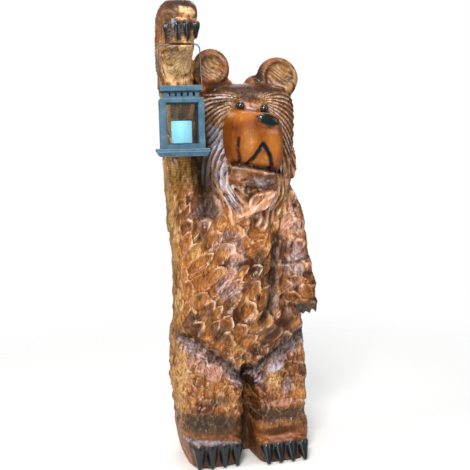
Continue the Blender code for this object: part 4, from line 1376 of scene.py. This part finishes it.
cut_share = {"sky_sheen": fade(gouge_tones, 0.2, 0.7), "orange": fade(gouge_tones, 0.8, 0.3)}
for name, places in STAINS.items():
    share = cut_share.get(name, fade(np.abs(gouge_tones - 0.5), 0.4, 0.1))
    paint(name, daubs(x, z, places) * front * (0.45 + 0.55 * share))
sawn = fade(x, -116.0, -134.0) * fade(z, 640.0, 580.0) * fade(z, 60.0, 120.0)
paint("honey", strongest(MASKS["honey"], sawn, 0.75 * MASKS["limb"] * fade(z, 846.0, 826.0)))

finer = strongest(fine_crest, bearded * crest_of(beard_flow(x, z) * 2.0))
wisps = fade(ripple(x, z, 15.0, 2.0), -0.4, 0.3)
# Painted highlight on the hair's crests, brightest on the left cheek and above the nose.
hair_highlight = strongest(
    strongest(*(line(lock_line, 9.0) for lock_line in CHEEK_LOCKS)) * strongest(0.5 * hair_crest, finer),
    wisps * mane * mane_lines * fade(x, 0.0, -30.0),
    0.5 * daubs(x, z, [(20, 708, 14, 4, -8)]),
)
paint("sky_highlight", strongest(
    hair_highlight * fade(-y, 20.0, 40.0), drawn(SKY_HIGHLIGHT_LINES, SKY_HIGHLIGHT_PLACES) * front,
    0.5 * band_crest, 0.14 * band_zone,
))
paint("pale", strongest(
    drawn(PALE_LINES, PALE_PLACES) * front, 0.9 * line(BEARD_TIP, 15.0) * bearded,
    *(strength * daubs(x, z, group) * fade(-y, start, end) for strength, start, end, group in PALE_AHEAD),
))

for name, values in MASKS.items():
    layer = bear_mesh.attributes.new(name, "FLOAT", "POINT")
    layer.data.foreach_set("value", values.astype(np.float32))

# %% [markdown]
# ## Varnished wood
# The colour is built in layers, as the carver built it: bare wood with growth rings and fibres,
# stain that settles in the cuts, clear orange on the muzzle, scorched creases, black paint, and
# one thick coat of gloss varnish over all. Painted light is laid in among them: painted shade in
# the hollows, creases and crevices, painted highlights on ridges, on the muzzle and on the hair,
# and a painted reflection of the sky in lilac-grey and pale blue-grey. The rings are worked out
# from the log's own middle, so each gouge cut shows them as fine curved lines, as in real wood; a
# flat picture of wood couldn't.

# %% Grain, flecks and rings
wood, tree, shader = new_material("varnished_wood")
place = object_place(tree)
mask = {name: tree.attribute(name) for name in MASKS}
fibre, fine_fibre = use(tree, streaks, Place=place, Stretch=(1.0, 1.0, 0.09), Scale=170.0)
patches, grain = use(tree, mottle, Place=place, Scale=16.0, Grain=520.0)
flecks, _ = use(tree, mottle, Place=tree.stretch(place, (1.0, 1.0, 0.45)), Scale=120.0, Grain=900.0)


def rings(middle, scale, wobble, axis):
    """Growth rings round a line along the given axis."""
    moved = tree.add("ShaderNodeMapping", {"Vector": place, "Location": middle})
    values = {"Vector": moved, "Scale": scale, "Distortion": wobble, "Detail": 2.0, "Detail Scale": 0.5}
    return tree.add("ShaderNodeTexWave", values, 1, wave_type="RINGS", rings_direction=axis)


def ragged(name, strength):
    """A mask whose edge is broken up by the wood's flecks, as thin stain is."""
    uneven = tree.times(mask[name], tree.span(flecks, 0.1, 0.9, 0.35, 1.65))
    return tree.span(uneven, 0.10, 0.70, 0.0, strength)


def off_and_on_muzzle(off, on):
    """A value that is one number on the muzzle and another elsewhere."""
    return tree.span(mask["muzzle"], 0.0, 1.0, off, on)


trunk_rings = rings((0.010, 0.020, 0.0), 118.0, 2.6, "Z")
limb_rings = rings((0.106, 0.0, -0.762), 62.0, 1.2, "Y")
ring = tree.between(mask["limb"], trunk_rings, limb_rings)
tone = tree.between(0.38, tree.between(0.40, patches, fibre), flecks)
tone = tree.math("ADD", tone, tree.span(mask["tone"], 0.0, 1.0, -0.20, 0.18))
print("wood nodes for the grain:", len(wood.node_tree.nodes))

# %% Layers of stain and painted light
stained = tree.ramp(
    tone, (0.20, (0.070, 0.024, 0.010)), (0.40, (0.21, 0.080, 0.026)),
    (0.60, (0.42, 0.165, 0.045)), (0.80, (0.64, 0.320, 0.105)),
)
bare = tree.ramp(
    tone, (0.20, (0.18, 0.070, 0.016)), (0.45, (0.42, 0.205, 0.045)), (0.75, (0.62, 0.380, 0.120)),
)
amber = tree.ramp(
    tree.between(0.45, patches, fibre),
    (0.10, (0.24, 0.060, 0.009)), (0.45, (0.42, 0.125, 0.018)), (0.90, (0.58, 0.205, 0.034)),
)
# Colours of the lilac-grey painted sky reflection.
sky_sheen_colors = tree.ramp(
    flecks, (0.10, (0.10, 0.062, 0.060)), (0.50, (0.28, 0.190, 0.195)), (0.90, (0.48, 0.375, 0.400)),
)
# Painted highlight and painted shade on the muzzle, mixed into its orange.
amber = tree.mix(tree.times(mask["glow"], 0.72), amber, (0.74, 0.31, 0.055))
amber = tree.mix(tree.times(mask["dim"], 0.66), amber, (0.30, 0.20, 0.16), "MULTIPLY")
color = tree.mix(mask["muzzle"], stained, amber)
# Lilac-grey here is a painted sky reflection and straw partly painted light; the others are stains.
for name, strength, stain in (
    ("honey", 0.85, bare),
    ("orange", 0.70, tree.mix(fibre, (0.30, 0.090, 0.018), (0.62, 0.245, 0.058))),
    ("olive", 0.80, tree.mix(flecks, (0.055, 0.036, 0.018), (0.21, 0.125, 0.060))),
    ("sky_sheen", 0.68, sky_sheen_colors),
    ("rosy", 0.70, (0.62, 0.33, 0.25)),
    ("straw", 0.90, tree.mix(fibre, (0.40, 0.215, 0.065), (0.86, 0.560, 0.230))),
):
    color = tree.mix(ragged(name, strength), color, stain)
# Partly dark stain, partly painted shade in crevices and under the paw and the hand.
color = tree.mix(ragged("dark_stain_and_shade", 0.85), color, (0.26, 0.17, 0.15), "MULTIPLY")
print("wood nodes with the stains:", len(wood.node_tree.nodes))

# %% Rings, painted shade, worn and highlighted ridges, scorch and black paint
dark_ring = tree.times(tree.span(ring, 0.35, 0.95), off_and_on_muzzle(0.36, 0.08))
color = tree.mix(dark_ring, color, (0.30, 0.17, 0.12), "MULTIPLY")
light_wood = tree.mix(mask["limb"], (0.84, 0.50, 0.34), (1.0, 0.66, 0.32))
# Pale wood where stain was rubbed off; on the arm's front under the paw it is partly painted light.
color = tree.mix(ragged("pale", 0.85), color, light_wood)
wavy = tree.math("ADD", tree.times(mask["contour"], 46.0), tree.times(flecks, 3.0))
waves = tree.span(tree.math("SINE", wavy), 0.0, 0.9, 0.0, 0.52)
color = tree.mix(waves, color, (0.36, 0.20, 0.13), "MULTIPLY")
# Painted shade, with stain that settles there: hollows, the mane and the thin shade just outside each cut's
# head.
sunk = tree.times(mask["hollow"], off_and_on_muzzle(0.70, 0.15))
sunk = tree.math("MAXIMUM", sunk, tree.times(mask["shade"], tree.span(flecks, 0.0, 0.8, 1.0, 0.6)))
color = tree.mix(sunk, color, (0.26, 0.15, 0.11), "MULTIPLY")
# Ridges and crests turn pale peach: partly wear through the stain, partly a painted highlight.
paler_edges = tree.math("MAXIMUM", mask["ridge"], tree.times(mask["crest"], 0.6))
paler_edges = tree.times(paler_edges, tree.span(fine_fibre, 0.36, 0.56, 0.55, 1.0))
paler_edges = tree.times(paler_edges, off_and_on_muzzle(0.92, 0.12))
strand_tone = tree.span(tree.noise(tree.stretch(place, (1.0, 1.0, 0.35)), 90.0, 2.0), 0.34, 0.66)
strand_color = tree.ramp(
    strand_tone, (0.10, (0.50, 0.215, 0.070)), (0.45, (0.82, 0.470, 0.245)), (0.85, (0.88, 0.660, 0.520)),
)
color = tree.mix(paler_edges, color, strand_color)
# The painted pale blue-grey highlight of the sky in the varnish.
color = tree.mix(ragged("sky_highlight", 0.85), color, (0.54, 0.53, 0.64))
# Scorch and painted shade are mixed in as one near-black.
burnt_and_shaded = tree.times(mask["scorch_and_shade"], tree.span(flecks, 0.0, 0.9, 1.0, 0.72))
color = tree.mix(burnt_and_shaded, color, (0.028, 0.020, 0.015))
speckle = tree.span(fine_fibre, 0.60, 0.72, 0.0, 0.12)
speckle_color = tree.mix(mask["limb"], (0.06, 0.09, 0.12), (0.16, 0.115, 0.07))
color = tree.mix(mask["black"], color, tree.mix(speckle, (0.004, 0.006, 0.008), speckle_color))
print("wood nodes with all layers:", len(wood.node_tree.nodes))

# %% Relief and varnish, and the bear's piece
relief = tree.times(tree.between(0.35, fibre, ring), off_and_on_muzzle(1.0, 0.15))
relief = tree.bump(relief, 0.0010, 0.75)
feed(
    tree, shader, Base_Color=color,
    Roughness=tree.span(tree.between(0.5, patches, grain), 0.25, 0.75, 0.34, 0.58),
    Coat_Weight=tree.math("MAXIMUM", tree.times(mask["lacquer"], 0.8), off_and_on_muzzle(0.20, 0.22)),
    Normal=tree.bump(grain, 0.0003, 0.35, relief),
)
feed(tree, shader, Coat_Roughness=0.14, Coat_IOR=1.5, Specular_IOR_Level=0.10)

piece("carved_bear", bear_mesh, wood, "varnished_wood", "bear")
bear_mesh.shade_smooth()
print("wood nodes:", len(wood.node_tree.nodes))

# %% [markdown]
# ## Bead eyes
# Two glossy black beads are set into the wood. Each is turned from one outline: a domed front, a
# low rim, and a stem that runs into the wood, so it looks set in, not stuck on.

# %% Eyes


def turned_shape(name, outline, steps=48, place=Matrix.Identity(4)):
    """A closed form of revolution round Z from (radius, height) points, its ends on the axis."""
    bm = bmesh.new()
    loops = []
    for radius, height in outline:
        if radius < 1e-7:
            loops.append([bm.verts.new((0, 0, height))])
            continue
        angles = [2 * math.pi * k / steps for k in range(steps)]
        loops.append([bm.verts.new((radius * math.cos(a), radius * math.sin(a), height)) for a in angles])
    for low, high in zip(loops, loops[1:]):
        for k in range(steps):
            corners = [low[k % len(low)], low[(k + 1) % steps % len(low)]]
            corners += [high[(k + 1) % steps % len(high)], high[k % len(high)]]
            bm.faces.new(list(dict.fromkeys(corners)))
    bmesh.ops.recalc_face_normals(bm, faces=bm.faces[:])
    bmesh.ops.transform(bm, matrix=place, verts=bm.verts[:])
    mesh = mesh_from(bm, name)
    mesh.shade_smooth()
    return mesh


BEAD_OUTLINE = [(math.sin(a), math.cos(a)) for a in np.radians(np.arange(0, 91, 7.5))]
BEAD_OUTLINE += [(0.995, -0.12), (0.96, -0.20), (0.86, -0.30), (0.62, -0.72), (0.5, -0.98), (0.0, -0.98)]
GAZE = Vector((0.0, -1.0, 0.12))

bead, tree, shader = new_material("eye_bead")
smears, dust = use(tree, mottle, Place=object_place(tree), Scale=420.0, Grain=1800.0)
feed(
    tree, shader,
    Base_Color=tree.mix(tree.times(smears, 0.35), (0.004, 0.004, 0.005), (0.022, 0.018, 0.016)),
    Roughness=tree.span(tree.times(smears, dust), 0.1, 0.6, 0.22, 0.34),
    Normal=tree.bump(dust, 0.0001, 0.10),
)
feed(tree, shader, Coat_Weight=0.85, Coat_Roughness=0.13)

for name in ("eye_left", "eye_right"):
    low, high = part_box(name)
    radius = (high.z - low.z) / 2
    outline = [(radius * across, radius * up) for across, up in BEAD_OUTLINE]
    shape = turned_shape(name, outline, place=Matrix.Translation((low + high) / 2) @ facing(GAZE))
    piece("bead_" + name, shape, bead, "eye_gloss", name)
print("eyes:", triangle_count(shape), "triangles each")

# %% [markdown]
# ## The lantern's metalwork
# Roof, body and base are folded and cast parts with a weathered blue-grey coat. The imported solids
# already have their true walls, windows and vents, so a copy of each is joined up and its sharp
# edges are rounded, because no real edge is perfectly sharp and only a round one catches light.
# The rounded strips are marked, so that the coat can be worn thin there.

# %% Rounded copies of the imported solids
MERGE_WITHIN = 0.00001
FLAT_BELOW = math.radians(1.0)
SHARP_ABOVE = math.radians(22.0)


def rounded(node, width):
    """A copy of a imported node's mesh with whole flat faces and rounded, marked edges."""
    bm = bmesh.new()
    bm.from_mesh(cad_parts[node].data)
    bmesh.ops.remove_doubles(bm, verts=bm.verts[:], dist=MERGE_WITHIN)
    bmesh.ops.dissolve_limit(
        bm, angle_limit=FLAT_BELOW, verts=bm.verts[:], edges=bm.edges[:], use_dissolve_boundaries=False
    )
    paler_edges = bm.faces.layers.float.new("paler_edges")
    sharp = [e for e in bm.edges if len(e.link_faces) == 2 and e.calc_face_angle() > SHARP_ABOVE]
    made = bmesh.ops.bevel(
        bm, geom=sharp, offset=width, segments=3, profile=0.5, affect="EDGES", clamp_overlap=True
    )
    for face in made["faces"]:
        face[paler_edges] = 1.0
    bmesh.ops.triangulate(bm, faces=[face for face in bm.faces if len(face.verts) > 4])
    mesh = mesh_from(bm, node + "_rounded")
    mesh.shade_flat()
    return mesh


slate, tree, shader = new_material("lantern_coat")
place = object_place(tree)
clouds, pits = use(tree, mottle, Place=place, Scale=60.0, Grain=1500.0)
wipes, _ = use(tree, streaks, Place=place, Stretch=(1.0, 1.0, 0.16), Scale=240.0)
coat = tree.ramp(
    tree.between(0.5, clouds, wipes),
    (0.20, (0.026, 0.078, 0.125)), (0.50, (0.046, 0.118, 0.178)), (0.85, (0.085, 0.178, 0.245)),
)
chipped = tree.times(tree.attribute("paler_edges"), tree.span(pits, 0.42, 0.60, 0.25, 0.9))
coat = tree.mix(chipped, coat, (0.20, 0.31, 0.37))
feed(
    tree, shader, Base_Color=coat, Roughness=tree.span(clouds, 0.0, 1.0, 0.42, 0.62),
    Normal=tree.bump(pits, 0.0002, 0.35),
)
feed(tree, shader, Metallic=0.0, Specular_IOR_Level=0.45)

for node, width in (("lantern_roof", 0.0007), ("lantern_frame", 0.0006), ("lantern_base", 0.0007)):
    mesh = rounded(node, width)
    piece(node + "_cast", mesh, slate, "lantern_slate", node)
    print(node, triangle_count(mesh), "triangles")

# %% [markdown]
# ## Window beads
# Each window has a thin frame that holds its pane. One frame would be easy to model; a Geometry
# Nodes tree sweeps it once and turns it round the lantern's middle, so all four stay alike.

# %% Window beads with Geometry Nodes


def new_geometry_tree(name, takes):
    """A Geometry Nodes tree that takes a shape, its own inputs (kind, name), sides and a material."""
    takes = [("Geometry", "Geometry"), *takes, ("Int", "Sides"), ("Material", "Material")]
    return new_tree("GeometryNodeTree", name, takes, [("Geometry", "Geometry")])


def finish_tree(tree, given, result, shape):
    """Ends a tree: its instances are made real and take the given material."""
    whole = tree.add("GeometryNodeRealizeInstances", {"Geometry": shape})
    painted = tree.add("GeometryNodeSetMaterial", {"Geometry": whole, "Material": given["Material"]})
    tree.put(result["Geometry"], painted)


def grown(name, data, group, values):
    """The plain mesh that a Geometry Nodes tree makes of a curve or mesh."""
    helper = placed(name, data)
    step = helper.modifiers.new(name, "NODES")
    step.node_group = group
    for item in group.interface.items_tree:
        if item.in_out == "INPUT" and item.name in values:
            step[item.identifier] = values[item.name]
    made = evaluated(helper)
    made.name = name
    return made


RECTANGLE = "GeometryNodeCurvePrimitiveQuadrilateral"
beads, tree, given, result = new_geometry_tree("Window Beads", [
    ("Float", "Width"), ("Float", "Height"), ("Float", "Offset"), ("Float", "Thickness"),
])
outline = tree.add(RECTANGLE, {"Width": given["Width"], "Height": given["Height"]})
profile = tree.add(RECTANGLE, {"Width": given["Thickness"], "Height": given["Thickness"]})
swept = tree.add("GeometryNodeCurveToMesh", {"Curve": outline, "Profile Curve": profile})
outward = tree.add("ShaderNodeCombineXYZ", {"Y": tree.times(given["Offset"], -1.0)})
upright = tree.add("GeometryNodeTransform", {
    "Geometry": swept, "Translation": outward, "Rotation": (math.pi / 2, 0.0, 0.0),
})
centers = tree.add("GeometryNodeMeshLine", {"Count": given["Sides"], "Offset": (0.0, 0.0, 0.0)})
share_of_turn = tree.math("DIVIDE", 2 * math.pi, given["Sides"])
angle_here = tree.times(tree.add("GeometryNodeInputIndex"), share_of_turn)
turns = tree.add("ShaderNodeCombineXYZ", {"Z": angle_here})
copies = tree.add("GeometryNodeInstanceOnPoints", {
    "Points": centers, "Instance": upright, "Rotation": turns,
})
finish_tree(tree, given, result, copies)

BODY_WIDTH = 0.080
WALL = 0.004
WINDOW_SIZE = (0.060, 0.076)
BEAD = 0.0016
BEAD_GAP = 0.0004
pane_low, pane_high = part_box("lantern_pane_front")
bead_mesh = grown("window_beads", bpy.data.meshes.new("seed"), beads, {
    "Width": WINDOW_SIZE[0] - BEAD, "Height": WINDOW_SIZE[1] - BEAD,
    "Offset": BODY_WIDTH / 2 - WALL + BEAD / 2 + BEAD_GAP, "Thickness": BEAD, "Sides": 4, "Material": slate,
})
window_middle = Matrix.Translation((0, 0, (pane_low.z + pane_high.z) / 2 - LANTERN_PLACE.z))
bead_mesh.transform(LANTERN @ window_middle)
piece("window_beads", bead_mesh, slate, "lantern_slate")
print("window beads:", triangle_count(bead_mesh), "triangles")

# %% [markdown]
# ## The wire
# The handle is one bent wire, from a hole in the roof's side up through the kerf and down to the
# other. A curve with a round profile swept along it by Geometry Nodes keeps its thickness even.

# %% Bail with Geometry Nodes
wire_metal, tree, shader = new_material("bail_wire")
place = object_place(tree)
drawn_marks, _ = use(tree, streaks, Place=place, Stretch=(1.0, 1.0, 0.2), Scale=900.0)
tarnish, _ = use(tree, mottle, Place=place, Scale=120.0, Grain=2400.0)
feed(
    tree, shader, Base_Color=tree.mix(tarnish, (0.09, 0.10, 0.11), (0.19, 0.20, 0.21)),
    Roughness=tree.span(drawn_marks, 0.2, 0.8, 0.30, 0.52),
    Metallic=tree.span(tarnish, 0.0, 0.4, 0.55, 0.9), Normal=tree.bump(drawn_marks, 0.0001, 0.3),
)

sweep, tree, given, result = new_geometry_tree("Swept Wire", [("Float", "Radius")])
profile = tree.add("GeometryNodeCurvePrimitiveCircle", {
    "Radius": given["Radius"], "Resolution": given["Sides"],
})
finish_tree(tree, given, result, tree.add("GeometryNodeCurveToMesh", {
    "Curve": given["Geometry"], "Profile Curve": profile, "Fill Caps": True,
}))

ROOF_WIDTH = 0.077
BAIL_DROP = 0.081
BAIL_TOP_WIDTH = 0.076
BAIL_CORNER = 0.009
BAIL_PIN = 0.0037
BAIL_GAP = 0.001


def arc(center, radius, start, end, steps):
    """Points along part of a circle, between two angles in degrees."""
    angles = [math.radians(start + (end - start) * k / steps) for k in range(steps + 1)]
    return [(center[0] + radius * math.cos(a), center[1] + radius * math.sin(a)) for a in angles]


def wire_path():
    """The wire's middle line, from one hole in the roof round to the other."""
    low = ROOF_WIDTH / 2 + BAIL_GAP + WIRE_RADIUS
    high = BAIL_TOP_WIDTH / 2
    bend = 2 * WIRE_RADIUS
    half = [(ROOF_WIDTH / 2 - BAIL_PIN, -BAIL_DROP)]
    half += arc((low - bend, bend - BAIL_DROP), bend, -90, 0, 6)
    half += arc((high - BAIL_CORNER, -BAIL_CORNER), BAIL_CORNER, 0, 90, 12)
    return [(-px, pz) for px, pz in half] + half[::-1]


path = bpy.data.curves.new("bail_path", "CURVE")
path.dimensions = "3D"
spline = path.splines.new("POLY")
route = [LANTERN @ Vector((px, 0, pz)) for px, pz in wire_path()]
spline.points.add(len(route) - 1)
for point, spot in zip(spline.points, route):
    point.co = (*spot, 1.0)
bail_mesh = grown("bail", path, sweep, {"Radius": WIRE_RADIUS, "Sides": 14, "Material": wire_metal})
bail_mesh.shade_smooth()
piece("wire_bail", bail_mesh, wire_metal, "bail_wire", "lantern_bail")
print("bail:", len(route), "points,", triangle_count(bail_mesh), "triangles")

# %% [markdown]
# ## Panes and candle
# The four panes are plain flat glass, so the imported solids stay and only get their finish. The
# flameless candle is a short moulded tube with a dished top; its plastic lets light in a little
# way, which is why it looks so even and pale. A soft glow of its own stands for that.

# %% Panes
glass, tree, shader = new_material("pane_glass")
film, _ = use(tree, streaks, Place=object_place(tree), Stretch=(1.0, 1.0, 0.25), Scale=90.0)
feed(tree, shader, Roughness=tree.span(film, 0.45, 0.75, 0.015, 0.10))
feed(tree, shader, Base_Color=(0.97, 0.99, 1.0, 1.0), Transmission_Weight=1.0, Metallic=0.0, IOR=1.45)
for side in ("front", "back", "left", "right"):
    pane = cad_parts["lantern_pane_" + side]
    pane.data.materials.clear()
    pane.data.materials.append(glass)

print("four panes glazed")

# %% Candle
CANDLE_EDGE = 0.0011

wax, tree, shader = new_material("candle_wax")
cloud, pores = use(tree, mottle, Place=object_place(tree), Scale=70.0, Grain=900.0)
tint = tree.mix(cloud, (0.26, 0.72, 0.88), (0.34, 0.79, 0.94))
feed(
    tree, shader, Base_Color=tint, Emission_Color=tint, Roughness=tree.span(cloud, 0.0, 1.0, 0.40, 0.55),
    Normal=tree.bump(pores, 0.0002, 0.25),
)
feed(tree, shader, Emission_Strength=0.50)

low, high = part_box("candle")
radius = (high.x - low.x) / 2
tall = high.z - low.z
dish = [
    (0.0, tall - 0.0032), (radius - 0.0060, tall - 0.0030), (radius - 0.0038, tall - 0.0018),
    (radius - 0.0026, tall - 0.0002),
]
side, top = radius - CANDLE_EDGE, tall - CANDLE_EDGE
half_round = [
    (side + CANDLE_EDGE * math.sin(a), top + CANDLE_EDGE * math.cos(a)) for a in (0.0, 0.5, 1.0, 1.57)
]
low_edge = [(radius, tall * 0.5), (radius, 0.0012), (radius - 0.0004, 0.0004), (radius - 0.0012, 0.0)]
outline = dish + half_round + low_edge + [(0.0, 0.0)]
foot = Vector(((low.x + high.x) / 2, (low.y + high.y) / 2, low.z))
candle_mesh = turned_shape("candle", outline, 72, Matrix.Translation(foot))
piece("moulded_candle", candle_mesh, wax, "candle_wax", "candle")
print("candle:", round(radius * 2000, 1), "mm across,", triangle_count(candle_mesh), "triangles")

# %% [markdown]
# ## Floor and light
# A pale round floor that fades out keeps the ground plain. The strongest lamp stands high on the
# left, as in the picture. Two weaker ones on that side fill the arm's side and the feet, a cool one
# fills the right, and one above and one behind lift the edges; pale surroundings do the rest.

# %% Studio
FLOOR_RADIUS = 1.5
FLOOR_LEVEL = -0.0006
WARM, COOL, WHITE = (1.0, 0.98, 0.95), (0.93, 0.96, 1.0), (1.0, 1.0, 1.0)

floor_material, tree, shader = new_material("studio_floor")
from_middle = tree.add("ShaderNodeVectorMath", {0: object_place(tree)}, "Value", operation="LENGTH")
feed(
    tree, shader, Alpha=tree.span(from_middle, 0.45, 1.3, 1.0, 0.0),
    Roughness=tree.span(tree.noise(object_place(tree), 40.0), 0.3, 0.7, 0.55, 0.65),
)
feed(tree, shader, Base_Color=(0.90, 0.90, 0.89, 1.0), Specular_IOR_Level=0.2)
bm = bmesh.new()
bmesh.ops.create_circle(bm, cap_ends=True, segments=96, radius=FLOOR_RADIUS)
floor_mesh = mesh_from(bm, "studio_floor")
floor_mesh.transform(Matrix.Translation((0, 0, FLOOR_LEVEL)))
floor_mesh.materials.append(floor_material)
placed("studio_floor", floor_mesh)


def lamp(name, azimuth, elevation, distance, size, power, color=WHITE):
    """A soft square lamp that looks at the figure."""
    data = bpy.data.lights.new(name, "AREA")
    data.size = size
    data.energy = power
    data.color = color
    toward = seen_from(math.radians(azimuth), math.radians(elevation))
    aim(placed(name, data), CAMERA_TARGET + toward * distance, toward)


lamp("key", -24.0, 34.0, 2.4, 0.6, 52.0, WARM)
lamp("left", -82.0, 26.0, 2.4, 0.9, 22.0, WARM)
lamp("fill", 46.0, 18.0, 2.6, 1.3, 13.0, COOL)
lamp("low", -42.0, 2.0, 2.6, 1.0, 10.0, WARM)
lamp("top", 10.0, 78.0, 2.2, 1.0, 14.0)
lamp("rear", 165.0, 40.0, 2.6, 1.4, 24.0)

world = bpy.data.worlds.new("studio")
bpy.context.scene.world = world
world.use_nodes = True
tree = Tree(world.node_tree)
around = world.node_tree.nodes["Background"]
tree.put(around.inputs["Color"], (0.96, 0.98, 1.0, 1.0))
tree.put(around.inputs["Strength"], 0.28)
seen = tree.add("ShaderNodeBackground", {"Color": (1.0, 1.0, 1.0, 1.0), "Strength": 1.0})
straight = tree.add("ShaderNodeLightPath", out="Is Camera Ray")
both = tree.add("ShaderNodeMixShader", {0: straight, 1: around.outputs[0], 2: seen})
tree.put(world.node_tree.nodes["World Output"].inputs["Surface"], both)
bpy.context.scene.view_settings.view_transform = "Standard"
